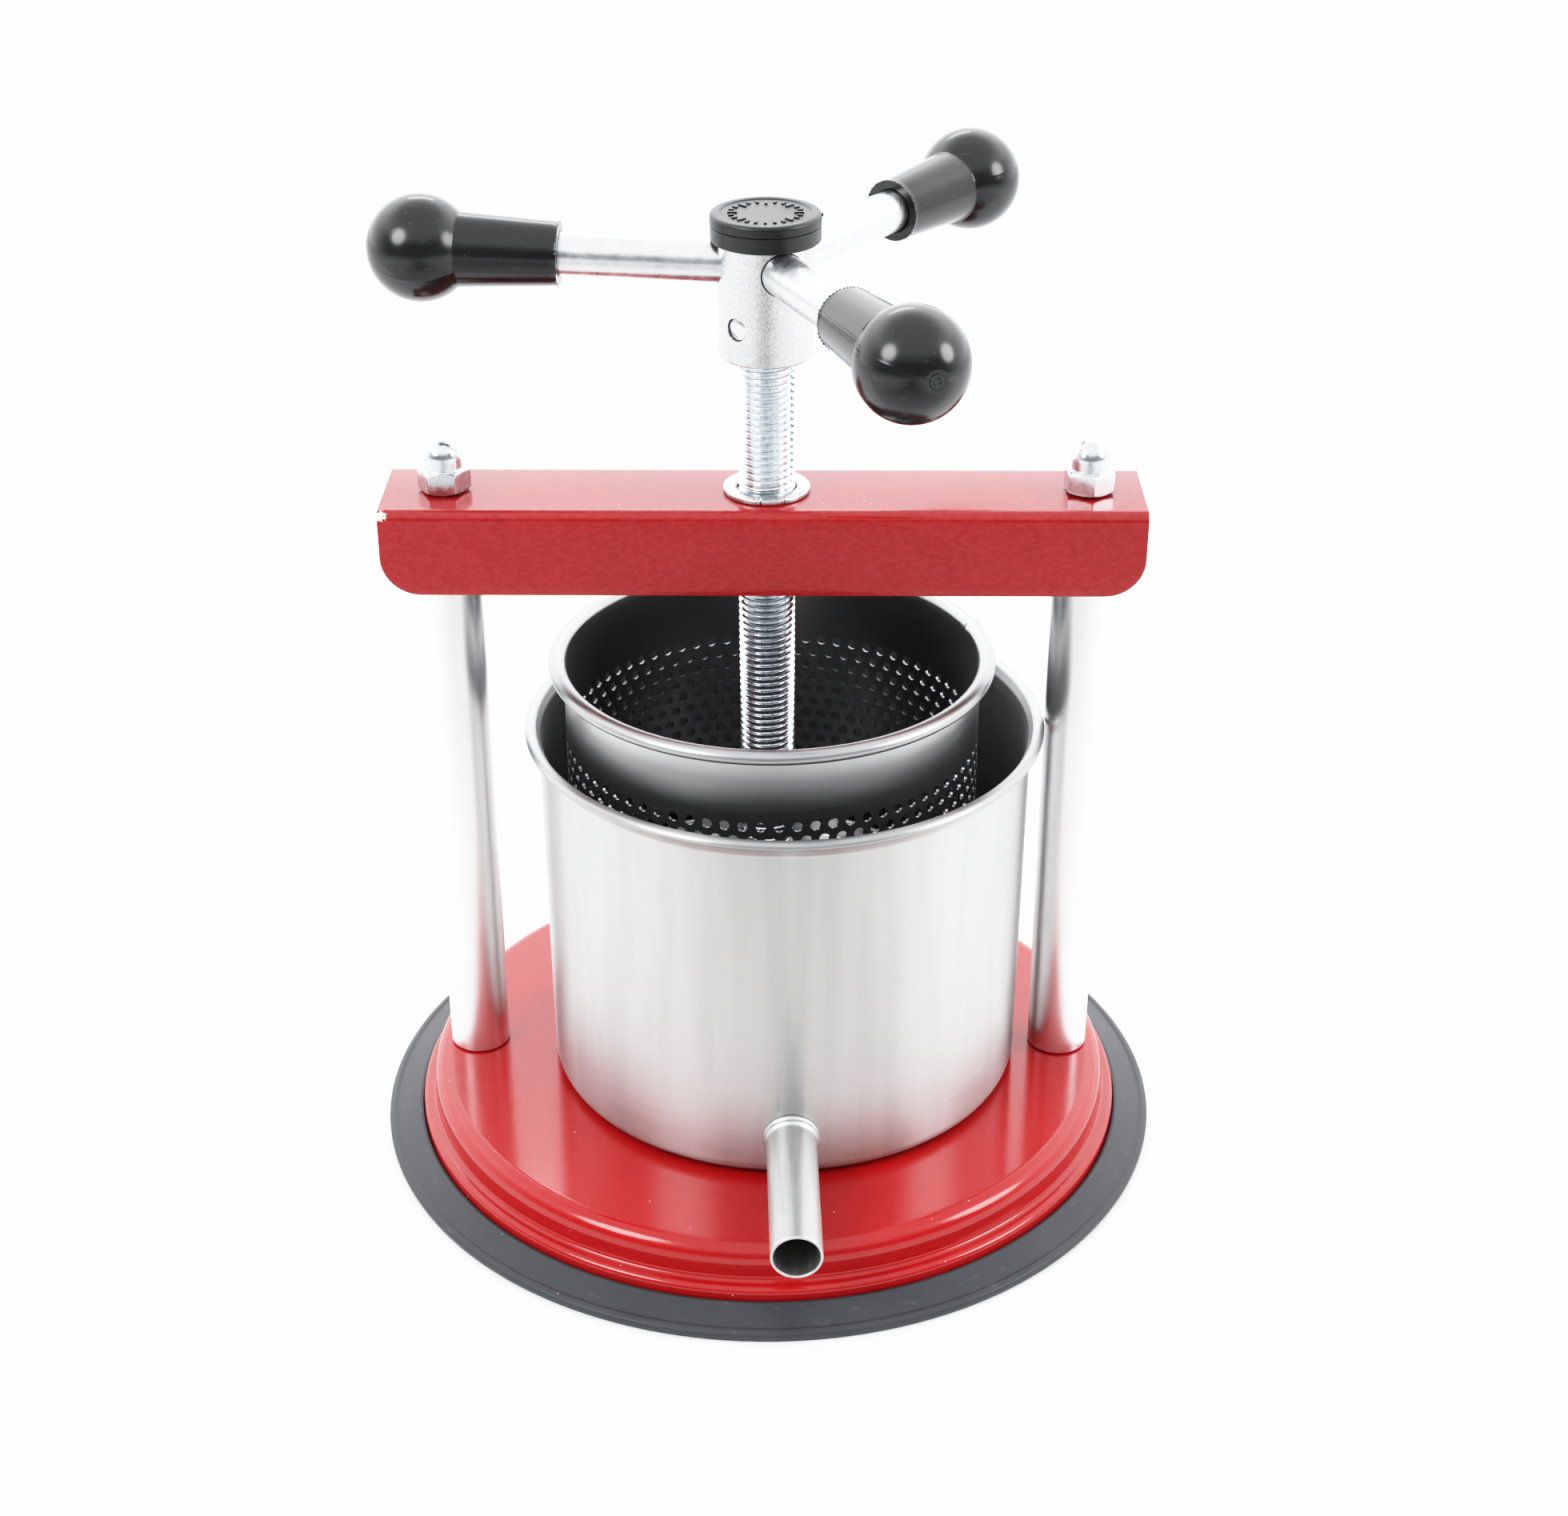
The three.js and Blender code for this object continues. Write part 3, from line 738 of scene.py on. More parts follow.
dome = [(6.0, 6.5), (5.75, 6.5), (5.5, 6.75), (5.5, 7.2), (5.5, 9.3)]
dome += arc(0, 9.5, 5.5, 0, 90, 14)[:-1] + [(0.0, 15.0)]
flat_top = [(5.5, 6.5), (4.4, 6.5), (3.6, 5.8)]
for side, name, turn in ((-1, "left", 30), (1, "right", 4)):
    x = side * SPACING / 2
    move = Matrix.Translation((x, 0, low("cap_nut_" + name).z))
    nut = make("cap_nut_domed_" + name, hex_nut(turn, dome), move)
    soften(nut, 0.14, 2, 24)
    piece(nut, "frame", ZINC, "bright_zinc", "cap_nut_" + name, sharp=40)

    move = Matrix.Translation((x, 0, low("foot_nut_" + name).z))
    nut = make("foot_nut_hex_" + name, hex_nut(10 * side, flat_top), move)
    piece(nut, "frame", ZINC, "bright_zinc", "foot_nut_" + name, sharp=24)

    lo, hi = low("foot_washer_" + name), high("foot_washer_" + name)
    washer = lathe(
        [(4.5, lo.z, 0.1), (7.5, lo.z, 0.25), (7.5, hi.z, 0.35), (4.5, hi.z, 0.2)], 96, closed=True
    )
    washer = make("foot_washer_flat_" + name, washer, Matrix.Translation((x, 0, 0)))
    piece(washer, "frame", ZINC, "bright_zinc", "foot_washer_" + name)

    lo, hi = low("column_" + name), high("column_" + name)
    column = lathe(
        [(6.5, lo.z, 0.3), (9.0, lo.z, 0.45), (9.0, hi.z, 0.45), (6.5, hi.z, 0.3)], 128, closed=True
    )
    column = make("column_tube_" + name, column, Matrix.Translation((x, 0, 0)))
    piece(column, "frame", TUBE, "aluminium", "column_" + name)


def thread(radius, depth, pitch, bottom, top, around=48, fade=1.4):
    """A right-hand thread. Rows of the mesh follow the helix, so its crest is an exact edge.
    Each row lies at a share of the pitch and drops below the crest by a share of the depth."""
    shares = (0.0, 0.035, 0.065, 0.1, 0.2, 0.3, 0.37, 0.43)
    shares = [*shares, 0.5, *(1 - s for s in reversed(shares[1:]))]
    drops = (0.03, 0.0, 0.045, 0.11, 0.39, 0.67, 0.84, 0.95)
    drops = [*drops, 1.0, *reversed(drops[1:])]
    count = len(shares)
    turns = math.floor((top - bottom) / pitch) - 1
    bm = bmesh.new()
    plain = radius - depth * 0.45
    grid = []
    for i in range(turns * count + 1):
        whole, part = divmod(i, count)
        row = []
        for j in range(around):
            height = pitch * (whole + shares[part] + j / around)
            ends = min(height, (turns + 1) * pitch - height) / (fade * pitch)
            share = max(0.0, min(1.0, ends - 0.3))
            r = radius - depth * drops[part]
            r = plain + (r - plain) * share
            a = TURN * j / around
            row.append(bm.verts.new((r * math.cos(a), r * math.sin(a), bottom + height)))
        grid.append(row)
    rows = len(grid)
    for i in range(rows - 1):
        for j in range(around - 1):
            bm.faces.new((grid[i][j], grid[i][j + 1], grid[i + 1][j + 1], grid[i + 1][j]))
        if i + count < rows - 1:
            k = i + count
            bm.faces.new((grid[i][-1], grid[k][0], grid[k + 1][0], grid[i + 1][-1]))
    start = grid[0] + [grid[i][0] for i in range(count, 0, -1)]
    centre = bm.verts.new((0, 0, bottom + pitch / 2))
    for a, b in zip(start, start[1:] + start[:1]):
        bm.faces.new((centre, b, a))
    last = rows - 1
    end = grid[last] + [grid[i][-1] for i in range(last - 1, last - count - 1, -1)]
    centre = bm.verts.new((0, 0, bottom + (turns + 0.5) * pitch))
    for a, b in zip(end, end[1:] + end[:1]):
        bm.faces.new((centre, a, b))
    return bm


for side, name in ((-1, "left"), (1, "right")):
    lo, hi = low("tie_rod_" + name), high("tie_rod_" + name)
    tie = thread(4.0, 0.75, 1.25, lo.z, 20.0, 32)
    add_mesh(tie, rod(3.6, 8.5, hi.z, 48, 0.2, 0.5))
    tie = make("tie_rod_threaded_" + name, tie, Matrix.Translation((side * SPACING / 2, 0, 0)))
    piece(tie, "frame", ZINC, "bright_zinc", "tie_rod_" + name)

# --------------------------------------------------------------------------- bush and screw

BUSH = {"flange": 12.2, "neck": 10.0, "body": 14.0, "bore": 8.3}
CRACKS = (262, 296, 18, 71, 133, 201)


def cracked(angle, radius, height):
    """Small radial splits in the swaged flange's edge."""
    degrees = math.degrees(angle)
    on_crack = any(abs((degrees - c + 180) % 360 - 180) < 0.8 for c in CRACKS)
    if on_crack and radius > BUSH["flange"] - 1.6:
        return radius - 0.55, height
    return radius, height


lo, hi = low("nut_bush"), high("nut_bush")
seat = low("cap_nut_left").z - 0.28
bush = lathe(
    [
        (BUSH["bore"], lo.z, 0.5),
        (BUSH["body"], lo.z, 0.8),
        (BUSH["body"], seat - 2.8, 0.3),
        (BUSH["neck"], seat - 2.8),
        (BUSH["neck"], seat + 0.05),
        (BUSH["flange"], seat + 0.05, 0.5),
        (BUSH["flange"], hi.z - 0.5, 0.5),
        (BUSH["flange"] - 1.4, hi.z, 0.8),
        (BUSH["bore"] + 0.8, hi.z, 0.4),
        (BUSH["bore"], hi.z - 0.8, 0.3),
    ],
    240,
    closed=True,
    shift=cracked,
)
piece(make("threaded_bush", bush), "frame", HUB_ZINC, "bright_zinc", "nut_bush")

lo, hi = low("press_screw"), high("press_screw")
pin_z = (low("boss_pin").z + high("boss_pin").z) / 2
foot = lathe(
    [
        (0, lo.z),
        (7.9, lo.z, 1.0),
        (7.9, pin_z - 2.3, 0.3),
        (6.0, pin_z - 2.3, 0.4),
        (6.0, pin_z + 2.3, 0.4),
        (7.9, pin_z + 2.3, 0.3),
        (7.9, 82.0, 0.6),
        (0, 82.0),
    ],
    96,
)
screw = thread(8.0, 1.227, 2.0, 79.0, 250.0)
add_mesh(screw, foot)
add_mesh(screw, rod(7.4, 246.0, hi.z, 96, 0.3, 0.8))
screw = make("press_screw_threaded", screw)
piece(screw, "screw_body", SCREW_ZINC, "bright_zinc", "press_screw", sharp=60)

# ------------------------------------------------------------------------------- hub and arms

ARMS = {"angles": (177.0, 292.6, 51.1), "rise": 1.6, "height": 270.7, "rod": 5.9}
HUB = {"radius": 13.1, "bore": 8.25, "bore_top": 262.3}
PIN = {"radius": 3.0, "height": 255.5, "angle": 52.8, "half": 12.1, "dome": 0.45}

lo, hi = low("handle_hub"), high("handle_hub")
hub = make("hub_turned", rod(HUB["radius"], lo.z, hi.z, 160, 0.7, 0.8))
cutters = [make("cut", rod(HUB["bore"], lo.z - 1, HUB["bore_top"], 96))]
for angle in ARMS["angles"]:
    hole = rod(ARMS["rod"] + 0.25, 6.7, 30, 96)
    cutters.append(make("cut", hole, outwards(angle, ARMS["rise"], ARMS["height"])))
hole = rod(PIN["radius"] + 0.2, -30, 30, 64)
cutters.append(make("cut", hole, outwards(PIN["angle"], 0, PIN["height"])))
carve(hub, *cutters)
soften(hub, 0.18, 2, 50)
piece(hub, "screw_body", HUB_ZINC, "bright_zinc", "handle_hub")

tip = PIN["half"] + PIN["dome"]
end = arc(0, PIN["half"], PIN["radius"], 0, 90, 3, PIN["dome"])[:-1]
pin = lathe([(0.0, -tip), *((r, -z) for r, z in reversed(end)), *end, (0.0, tip)], 64)
pin = make("hub_cross_pin", pin, outwards(PIN["angle"], 0, PIN["height"]))
piece(pin, "screw_body", ZINC, "bright_zinc", "hub_pin")

for i, angle in enumerate(ARMS["angles"]):
    arm = rod(ARMS["rod"], 7.0, 85.0, 96, 0.6, 0.6)
    arm = make(f"arm_rod_{i + 1}", arm, outwards(angle, ARMS["rise"], ARMS["height"]))
    piece(arm, "screw_body", ROD_ZINC, "bright_zinc", f"handle_rod_{i + 1}")

GRIP = {"ball": 14.5, "ball_at": 93.2, "open": 55.5, "open_r": 8.6, "root_r": 10.0}


def flashed(angle, radius, height):
    """A thin parting line along the grip, and torn flash at its open end."""
    degrees = math.degrees(angle) % 180
    ridge = 0.09 if abs(degrees - 70) < 1.1 else 0.0
    if radius < ARMS["rod"] + 0.4:
        return radius, height
    flap = 0.0
    if height < GRIP["open"] + 0.25 and radius > GRIP["open_r"] - 0.6:
        wave = math.sin(degrees * 0.9) + 0.5 * math.sin(degrees * 2.3 + 1)
        flap = 0.28 if wave > 0.55 else 0.0
    far = height > GRIP["ball_at"] + GRIP["ball"] - 0.9
    return radius + (0.0 if far else ridge) + flap, height


def grip():
    """A one-piece grip: a sleeve, its waist, the ball, and a moulding nub on the ball's end."""
    ball, at = GRIP["ball"], GRIP["ball_at"]
    root = math.degrees(math.asin(GRIP["root_r"] / ball))
    sphere = arc(0, at, ball, root - 90, 90, 40)
    nub = 2.0
    tip = at + ball
    sphere = [p for p in sphere if not (p[1] > at and p[0] < nub + 0.25)]
    edge = at + math.sqrt(ball**2 - (nub + 0.2) ** 2)
    profile = [
        (0.0, 85.3),
        (ARMS["rod"] + 0.15, 85.3),
        (ARMS["rod"] + 0.15, GRIP["open"] + 0.3),
        (ARMS["rod"] + 0.5, GRIP["open"]),
        (GRIP["open_r"], GRIP["open"]),
        (GRIP["open_r"], GRIP["open"] + 0.28),
        (GRIP["open_r"] - 0.05, GRIP["open"] + 0.5),
        (GRIP["open_r"] + 0.05, GRIP["open"] + 2),
        *[(p[0], p[1], 1.2) if k == 0 else p for k, p in enumerate(sphere)],
        (nub + 0.2, edge - 0.12),
        (nub, edge - 0.14),
        (nub - 0.15, tip + 0.02),
        (nub - 0.9, tip + 0.05),
        (nub - 1.2, tip - 0.25),
        (0.0, tip - 0.3),
    ]
    return lathe(profile, 180, shift=flashed)


for i, angle in enumerate(ARMS["angles"]):
    knob = make(f"ball_grip_moulded_{i + 1}", grip(), outwards(angle, ARMS["rise"], ARMS["height"]))
    piece(knob, "screw_body", GRIP_BLACK, "gloss_black", f"ball_grip_{i + 1}", sharp=38)

lo, hi = low("hub_cap"), high("hub_cap")
CAP = {"radius": 15.05, "seam": 281.9, "nub": 284.0}
cap = lathe(
    [
        (0.0, high("handle_hub").z + 0.3),
        (13.4, high("handle_hub").z + 0.3),
        (13.4, lo.z, 0.2),
        (CAP["radius"] - 0.15, lo.z, 0.35),
        (CAP["radius"] - 0.12, CAP["seam"] - 0.35, 0.12),
        (CAP["radius"] - 0.45, CAP["seam"] - 0.2),
        (CAP["radius"] - 0.02, CAP["seam"], 0.12),
        (CAP["radius"], hi.z - 0.35, 1.1),
        (12.6, hi.z - 0.35, 0.6),
        (11.9, hi.z - 0.75, 0.5),
        (0.0, hi.z - 0.75),
    ],
    180,
)


def cap_marks(bm, floor):
    """A generic pattern: short raised bars in a ring."""
    for k in range(24):
        a = TURN * k / 24
        long = 2.6 if k % 3 == 0 else 1.4
        mid = 10.2 - long / 2
        bar = bmesh.ops.create_cube(bm, size=1)["verts"]
        shape = Matrix.Rotation(a, 4, "Z") @ Matrix.Translation((mid, 0, floor + 0.1))
        bmesh.ops.transform(bm, matrix=shape @ Matrix.Diagonal((long, 0.75, 0.55, 1)), verts=bar)
    return bm


cap = make("hub_cap_moulded", cap_marks(cap, hi.z - 0.75))
nub = lathe([(0.0, 0.0), (0.55, 0.0, 0.1), (0.45, 0.35, 0.2), (0.0, 0.45)], 24)
nub_frame = outwards(0, 0, CAP["nub"]) @ Matrix.Translation((0, 0, CAP["radius"] - 0.1))
nub = make("cap_gate_nub", nub, nub_frame)
piece(cap, "screw_body", CAP_BLACK, "satin_black", "hub_cap")
piece(nub, "screw_body", CAP_BLACK, "satin_black")

# ------------------------------------------------------------------------------- press plate

lo, hi = low("press_plate"), high("press_plate")
radius = hi.x
plate = lathe(
    [
        (0.0, lo.z),
        (radius, lo.z, 2.2),
        (radius, hi.z, 0.7),
        (radius - 1.6, hi.z, 0.7),
        (radius - 1.6, lo.z + 2.5, 1.2),
        (0.0, lo.z + 2.5),
    ],
    192,
)
piece(make("press_plate_pressed", plate), "plate_body", PLATE_STEEL, "stainless", "press_plate")
lo, hi = low("plate_boss"), high("plate_boss")
BOSS = {"bore": 8.3, "outer": 18.0, "pin_hole": 2.2, "pin": 2.0}
boss = lathe(
    [
        (BOSS["bore"], lo.z, 0.5),
        (BOSS["outer"], lo.z, 0.4),
        (BOSS["outer"], hi.z, 1.2),
        (BOSS["bore"], hi.z, 0.6),
    ],
    128,
    closed=True,
)
boss = make("plate_boss_turned", boss)
lo, hi = low("boss_pin"), high("boss_pin")
pin_y = (lo.y + hi.y) / 2
along = Matrix.Translation((0, pin_y, pin_z)) @ Matrix.Rotation(math.pi / 2, 4, "Y")
carve(boss, make("cut", rod(BOSS["pin_hole"], -30, 30, 48), along))
piece(boss, "plate_body", ZINC, "bright_zinc", "plate_boss")
pin = rod(BOSS["pin"], -hi.x, hi.x, 48, 0.4, 0.4)
piece(make("boss_cross_pin", pin, along), "plate_body", ZINC, "bright_zinc", "boss_pin")

# ----------------------------------------------------------------------------- pot and spout

POT = {"centre": 5.0, "foot": 70.9, "top": 72.0, "sheet": 1.0, "neck": 129.0}
RIM = {"radius": 74.0, "half": 1.8, "height": 133.3, "tall": 1.4}
lo = low("pot")
pot = lathe(
    [
        (0.0, lo.z),
        (POT["foot"], lo.z, 4.0),
        (POT["top"], POT["neck"], 2.5),
        *arc(RIM["radius"], RIM["height"], RIM["half"], -62, 150, 18, RIM["tall"]),
        (POT["top"] - POT["sheet"] + 0.25, RIM["height"] - 1.6, 1.5),
        (POT["top"] - POT["sheet"], POT["neck"] - 0.6, 2.5),
        (POT["foot"] - POT["sheet"], lo.z + POT["sheet"], 3.0),
        (0.0, lo.z + POT["sheet"]),
    ],
    224,
)
pot = make("pot_drawn", pot, Matrix.Translation((POT["centre"], 0, 0)))

SPOUT = {"angle": -88.1, "drop": 1.6, "height": 34.8, "reach": 122.9, "outer": 7.25, "inner": 6.45}
root_rise = math.tan(math.radians(SPOUT["drop"])) * POT["foot"]
spout_frame = Matrix.Translation((POT["centre"], 0, 0)) @ outwards(
    SPOUT["angle"], -SPOUT["drop"], SPOUT["height"] + root_rise
)
carve(pot, make("cut", rod(SPOUT["inner"], 62, 80, 72), spout_frame))
piece(pot, "pot_body", POT_STEEL, "stainless", "pot", sharp=40)


def spout_tube(around=96):
    """A thin tube with a double bead whose root follows the pot's curve."""
    wall = POT["foot"] + 0.12
    outer, inner, reach = SPOUT["outer"], SPOUT["inner"], SPOUT["reach"]
    near = [(inner + 0.02, 0.03)]
    near += [(8.1, 0.03), (8.3, 0.25), (8.3, 0.9), (8.1, 1.3), (7.75, 1.55), (7.72, 1.8)]
    near += [(7.95, 2.05), (8.0, 2.4), (7.85, 2.8), (7.4, 3.2), (outer, 3.7), (outer, 4.4)]
    bm = bmesh.new()
    rings = []

    def ring(radius, along):
        row = []
        for j in range(around):
            a = TURN * j / around
            x, y = radius * math.cos(a), radius * math.sin(a)
            row.append(bm.verts.new((x, y, along(y))))
        rings.append(row)

    for radius, off in near:
        ring(radius, lambda y, off=off: math.sqrt(wall**2 - y**2) + off)
    for s in (80, 90, 100, 110, reach - 1):
        ring(outer, lambda y, s=s: s)
    lip = [(outer, 0.35), (outer - 0.1, 0.1), (outer - 0.3, 0.0)]
    lip += [(inner + 0.3, 0.0), (inner + 0.1, 0.1), (inner, 0.35), (inner, 1.0)]
    for radius, back in lip:
        ring(radius, lambda y, back=back: reach - back)
    for s in (110, 100, 90, 80):
        ring(inner, lambda y, s=s: s)
    for a, b in zip(rings, rings[1:] + rings[:1]):
        join(bm, a, b, around)
    return bm


spout = make("pot_spout_tube", spout_tube(), spout_frame)
piece(spout, "pot_body", SPOUT_STEEL, "stainless", "pot_spout", sharp=45)

# ------------------------------------------------------------------------------------- basket

BASKET = {"centre": 1.4, "inner": 59.4, "sheet": 0.8, "cells": 75, "rows": 24}
HOLES = {"radius": 1.52, "first": 131.0, "pitch": 4.33}
BEAD = {"radius": 61.93, "height": 153.7, "half": 2.5, "tall": 2.03}
WELD = 18.0  # direction of the seam's weld, in degrees
LUMPS = {0: -0.2, 1: 0.4, -1: 0.35, 2: 0.16}  # the weld on the bead, by column from the seam


def basket_wall():
    """Perforated sheet in six-sided cells, a plain band and a rolled bead, on shared columns."""
    columns = 4 * BASKET["cells"]
    pitch, rows, inner = HOLES["pitch"], BASKET["rows"], BASKET["inner"]
    weld = math.radians(WELD)
    bm = bmesh.new()
    found = {}

    def at(column, z, radius=inner):
        a = weld + TURN * column / columns
        return bm.verts.new((radius * math.cos(a), radius * math.sin(a), z))

    def corner(column, level):
        key = (column % columns, level)
        if key not in found:
            found[key] = at(key[0], HOLES["first"] - level * pitch / 6)
        return found[key]

    right = ((0, -4), (1, -3), (2, -2), (2, 0), (2, 2), (1, 3))
    edge = (*right, *((-c, -v) for c, v in right))
    for row in range(rows):
        for cell in range(BASKET["cells"]):
            middle = 4 * cell + 2 * (row % 2)
            outer = [corner(middle + c, 6 * row + v) for c, v in edge]
            if middle % columns in (0, 2, columns - 2):
                bm.faces.new(outer)
                continue
            hole = []
            for k in range(12):
                a = math.radians(90 - 30 * k)
                across = HOLES["radius"] * math.cos(a) / (TURN * inner / columns)
                z = HOLES["first"] - row * pitch + HOLES["radius"] * math.sin(a)
                hole.append(at(middle + across, z))
            for k in range(12):
                n = (k + 1) % 12
                bm.faces.new((outer[k], outer[n], hole[n], hole[k]))

    def zigzag(level, up, start):
        heights = (up * 4, up * 3, up * 2, up * 3)
        return [corner(c, level + heights[(c - start) % 4]) for c in range(columns)]

    def strip(a, b):
        for j in range(columns):
            k = (j + 1) % columns
            bm.faces.new((a[j], a[k], b[k], b[j]))

    band = HOLES["first"] + pitch
    profile = [(inner, band), (inner, band + 4), (inner, 147.0), (inner, 150.0), (inner, 151.8)]
    profile += arc(BEAD["radius"], BEAD["height"], BEAD["half"], 180, -112, 26, BEAD["tall"])
    last = zigzag(0, -1, 0)
    for radius, z in profile:
        ring = []
        for c in range(columns):
            off = (c + 2) % columns - 2
            lump = LUMPS.get(off, 0.0) if z > 152 else 0.0
            if lump and radius < BEAD["radius"]:
                lump = -lump
            ring.append(at(c, z + abs(lump) * 0.5, radius + lump))
        strip(last, ring)
        last = ring
    level = 6 * (rows - 1)
    last = zigzag(level, 1, 2 * ((rows - 1) % 2))
    for z in (HOLES["first"] - (rows - 1) * pitch - pitch, low("basket").z + 0.3, low("basket").z):
        ring = [at(c, z) for c in range(columns)]
        strip(last, ring)
        last = ring
    return bm


basket = make("basket_perforated", basket_wall(), Matrix.Translation((BASKET["centre"], 0, 0)))
out_of(basket, (BASKET["centre"] * MM, 0, 0.08))
basket.data.flip_normals()
modify(basket, "SOLIDIFY", thickness=BASKET["sheet"] * MM, offset=-1)
piece(basket, "basket_body", BASKET_STEEL, "stainless", "basket", sharp=35)


def perforated_disc(radius, margin, pitch, hole):
    """A flat disc with staggered holes that stay inside the margin."""
    sides = 180
    points = [Vector(p) for p in arc(0, 0, radius, 0, 360, sides)[:-1]]
    edges = [(k, (k + 1) % sides) for k in range(sides)]
    row_pitch = pitch * math.sqrt(3) / 2
    count = int(radius / row_pitch) + 1
    for row in range(-count, count + 1):
        for col in range(-count - 2, count + 3):
            x, y = (col + 0.5 * (row % 2)) * pitch, row * row_pitch
            if math.hypot(x, y) > radius - margin:
                continue
            first = len(points)
            for k in range(16):
                a = -TURN * k / 16
                points.append(Vector((x + hole * math.cos(a), y + hole * math.sin(a))))
                edges.append((first + k, first + (k + 1) % 16))
    flat = geometry.delaunay_2d_cdt(points, edges, [], 2, 1e-4)
    bm = bmesh.new()
    verts = [bm.verts.new((p.x, p.y, 0)) for p in flat[0]]
    for face in flat[2]:
        bm.faces.new([verts[i] for i in face])
    return bm


lo, hi = low("basket_floor"), high("basket_floor")
disc = perforated_disc((hi.x - lo.x) / 2, 4.0, 5.04, HOLES["radius"])
disc = make("basket_floor_perforated", disc, Matrix.Translation((BASKET["centre"], 0, hi.z)))
out_of(disc, (BASKET["centre"] * MM, 0, 0))
modify(disc, "SOLIDIFY", thickness=BASKET["sheet"] * MM, offset=-1)
piece(disc, "basket_body", BASKET_STEEL, "stainless", "basket_floor")

# -------------------------------------------------------------------------- floor and lights



def card(name, half, place, finish, cuts):
    """A flat square in metres that belongs to the studio and not to the press."""
    grid = bmesh.new()
    bmesh.ops.create_grid(grid, x_segments=cuts, y_segments=cuts, size=half)
    grid.transform(Matrix.Translation(place))
    mesh = bpy.data.meshes.new(name)
    grid.to_mesh(mesh)
    grid.free()
    mesh.materials.append(finish)
    obj = bpy.data.objects.new(name, mesh)
    scene.collection.objects.link(obj)
    return obj


paper = Finish("white_paper", Roughness=0.8)
paper.shader.inputs["Specular IOR Level"].default_value = 0.2
paper.set(Base_Color=paper.mix(paper.noise(3, 2), (0.84, 0.84, 0.84), (0.87, 0.87, 0.87)))
floor = card("studio_floor", 2.5, (0, 0, 0), paper.material, 8)

world = bpy.data.worlds.new("studio")
scene.world = world
world.use_nodes = True
nodes, links = world.node_tree.nodes, world.node_tree.links
background = nodes["Background"]
background.inputs["Color"].default_value = (0.975, 0.985, 1.0, 1)
direction = nodes.new("ShaderNodeTexCoord")
split = nodes.new("ShaderNodeSeparateXYZ")
links.new(direction.outputs["Generated"], split.inputs[0])


def blend_along(axis, start, end, first, last):
    """A smooth change along one axis of the direction."""
    made = nodes.new("ShaderNodeMapRange")
    made.interpolation_type = "SMOOTHSTEP"
    links.new(split.outputs[axis], made.inputs["Value"])
    made.inputs["From Min"].default_value = start
    made.inputs["From Max"].default_value = end
    made.inputs["To Min"].default_value = first
    made.inputs["To Max"].default_value = last
    return made.outputs["Result"]


def combined(operation, a, b):
    """The sum or product of two values that follow the direction."""
    made = nodes.new("ShaderNodeMath")
    made.operation = operation
    links.new(a, made.inputs[0])
    links.new(b, made.inputs[1])
    return made.outputs[0]


backdrop = combined(
    "MULTIPLY", blend_along("Y", -0.6, 0.6, 0.0, 2.7), blend_along("Z", 0.45, 0.9, 1.0, 0.0)
)
ceiling = blend_along("Z", 0.3, 0.68, 0.33, 1.85)

# Seen directly, the studio is an even white. What it lights and reflects is not.
PLAIN_WHITE = 1.8
seen = nodes.new("ShaderNodeMix")
links.new(nodes.new("ShaderNodeLightPath").outputs["Is Camera Ray"], seen.inputs["Factor"])
links.new(combined("ADD", backdrop, ceiling), seen.inputs["A"])
seen.inputs["B"].default_value = PLAIN_WHITE
links.new(seen.outputs["Result"], background.inputs["Strength"])


AIM = Vector((0, 0, 0.14))


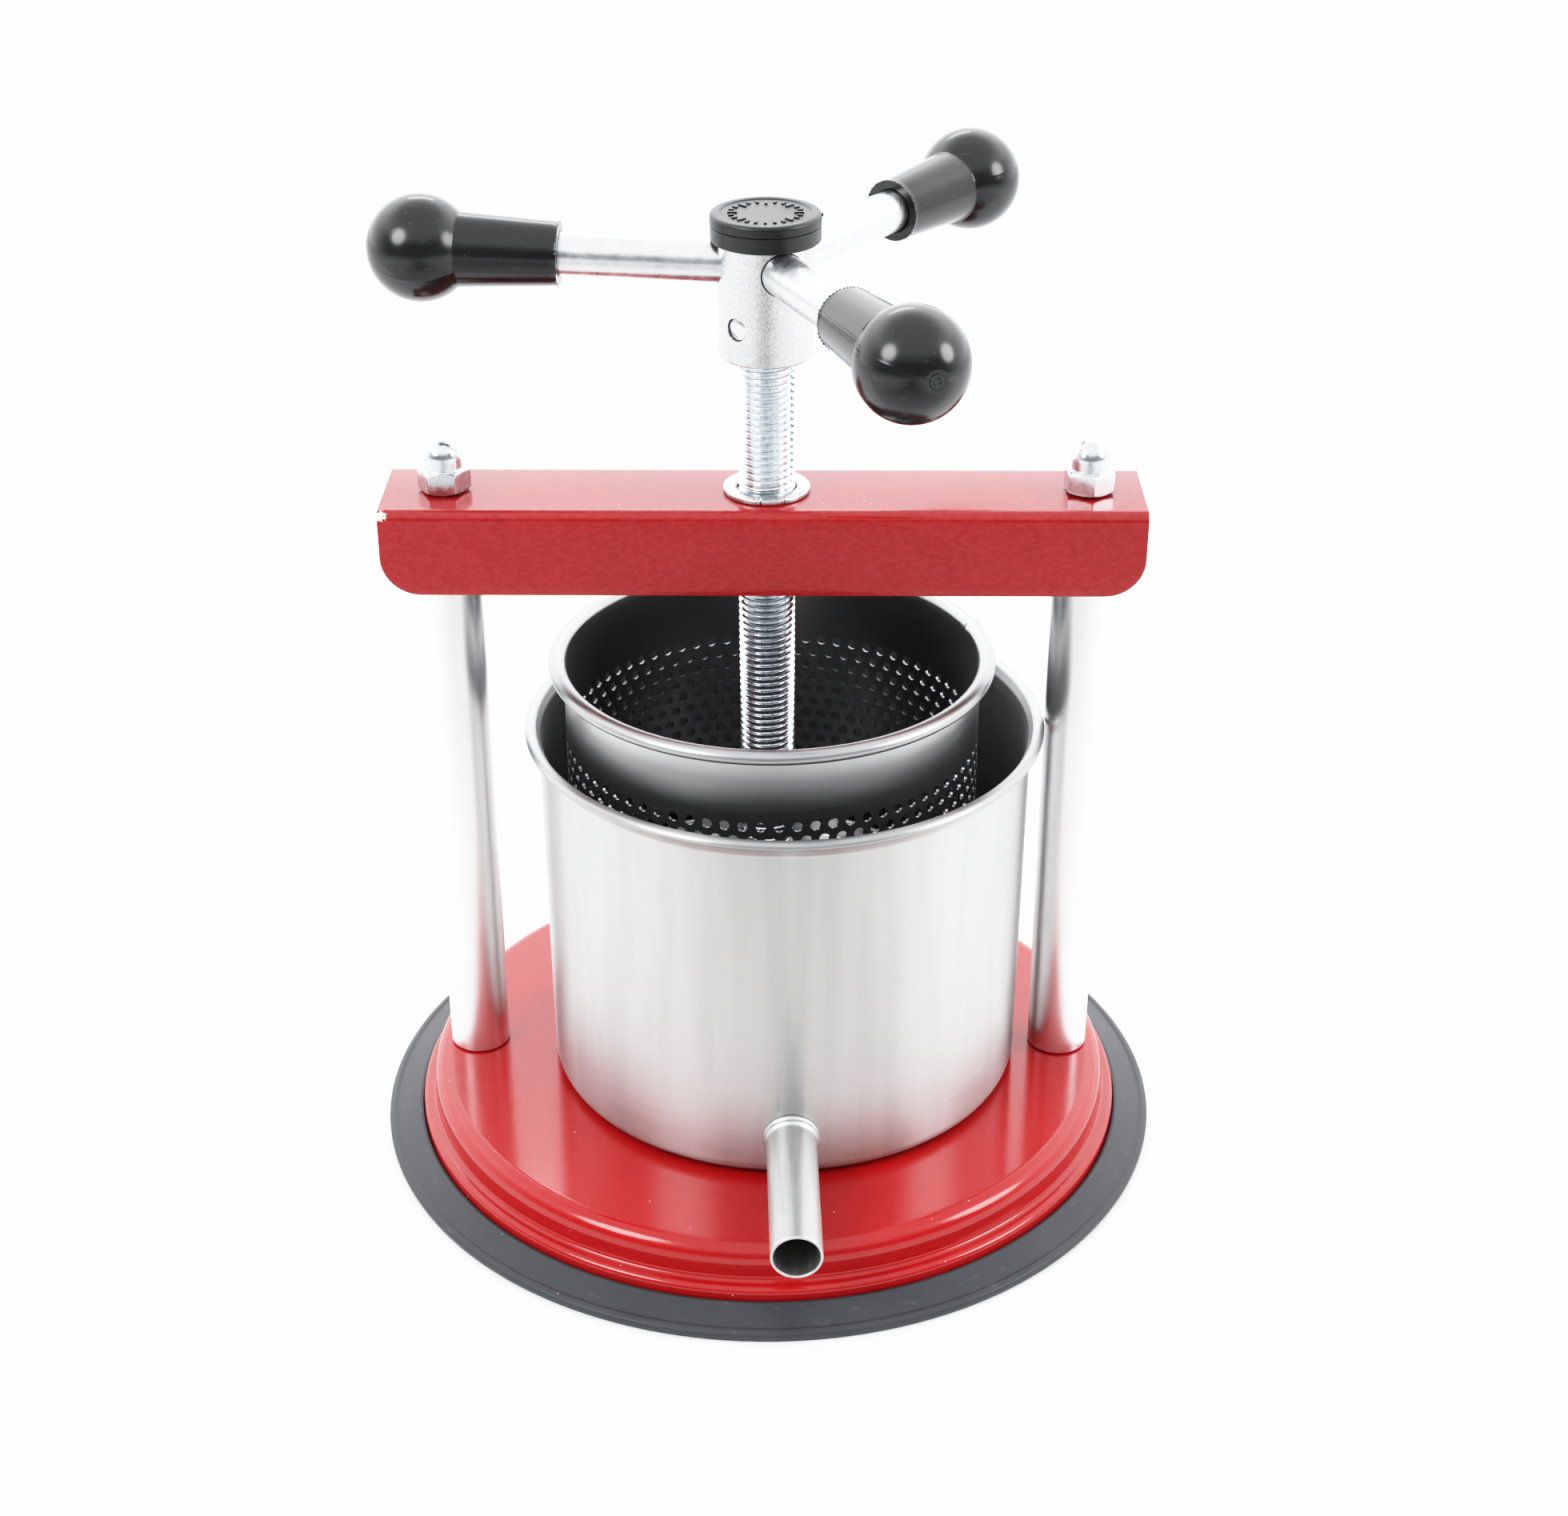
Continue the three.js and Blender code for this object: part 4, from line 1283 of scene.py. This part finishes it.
def softbox(name, place, size, power, shape="DISK"):
    """An area light that faces the middle of the press."""
    lamp = bpy.data.lights.new(name, "AREA")
    lamp.shape = shape
    lamp.size = size
    if shape == "RECTANGLE":
        lamp.size_y = size / 6
    lamp.energy = power
    obj = bpy.data.objects.new(name, lamp)
    obj.location = place
    obj.rotation_euler = (AIM - Vector(place)).to_track_quat("-Z", "Y").to_euler()
    scene.collection.objects.link(obj)


softbox("softbox_left", (-0.74, -0.60, 0.85), 0.55, 8.5)
softbox("softbox_right", (1.05, -0.29, 0.70), 0.55, 8.0)
softbox("back_strip", (-0.15, 1.0, 0.95), 0.5, 1.2, "RECTANGLE")

# The floor's light falls off towards the camera. Only reflections see this card.
dim = Finish("dim_floor", Base_Color=(0, 0, 0, 1), Roughness=1.0)
nearby = dim.fit(dim.axis("Y"), -0.6, -0.125)
aside = dim.fit(dim.math("ABSOLUTE", dim.axis("X")), 0.05, 0.4)
glow = dim.fit(dim.math("MAXIMUM", nearby, aside), 0.0, 1.0, 0.55, 1.8)
dim.set(Emission_Color=(1, 1, 1, 1), Emission_Strength=glow)
fall = card("floor_falloff", 0.74, (0, -0.865, 0.002), dim.material, 2)
for ray in ("camera", "diffuse", "transmission", "volume_scatter", "shadow"):
    setattr(fall, "visible_" + ray, False)

camera = bpy.data.cameras.new("camera")
camera.lens = 59.73
camera.sensor_width = 36.0
camera_object = bpy.data.objects.new("camera", camera)
camera_object.location = (0.0091, -0.67545, 0.48524)
camera_object.rotation_euler = (math.radians(61.61), 0.0, math.radians(0.36))
scene.collection.objects.link(camera_object)
scene.camera = camera_object

view = scene.view_settings
view.view_transform = "Standard"
view.use_curve_mapping = True
response = view.curve_mapping
# The curve keeps the middle tones, deepens the darkest a little and rolls off the brightest.
BRIGHTEST = 4.0
RESPONSE = {0.05: 0.033, 0.12: 0.1, 0.35: 0.35, 0.7: 0.69, 1.0: 0.86, 1.4: 0.955, 2.2: 0.99}
response.white_level = (BRIGHTEST, BRIGHTEST, BRIGHTEST)
curve = response.curves[3]
curve.points[1].location = (1.0, 1.0)
for light, shown in RESPONSE.items():
    curve.points.new(light / BRIGHTEST, shown)
response.update()
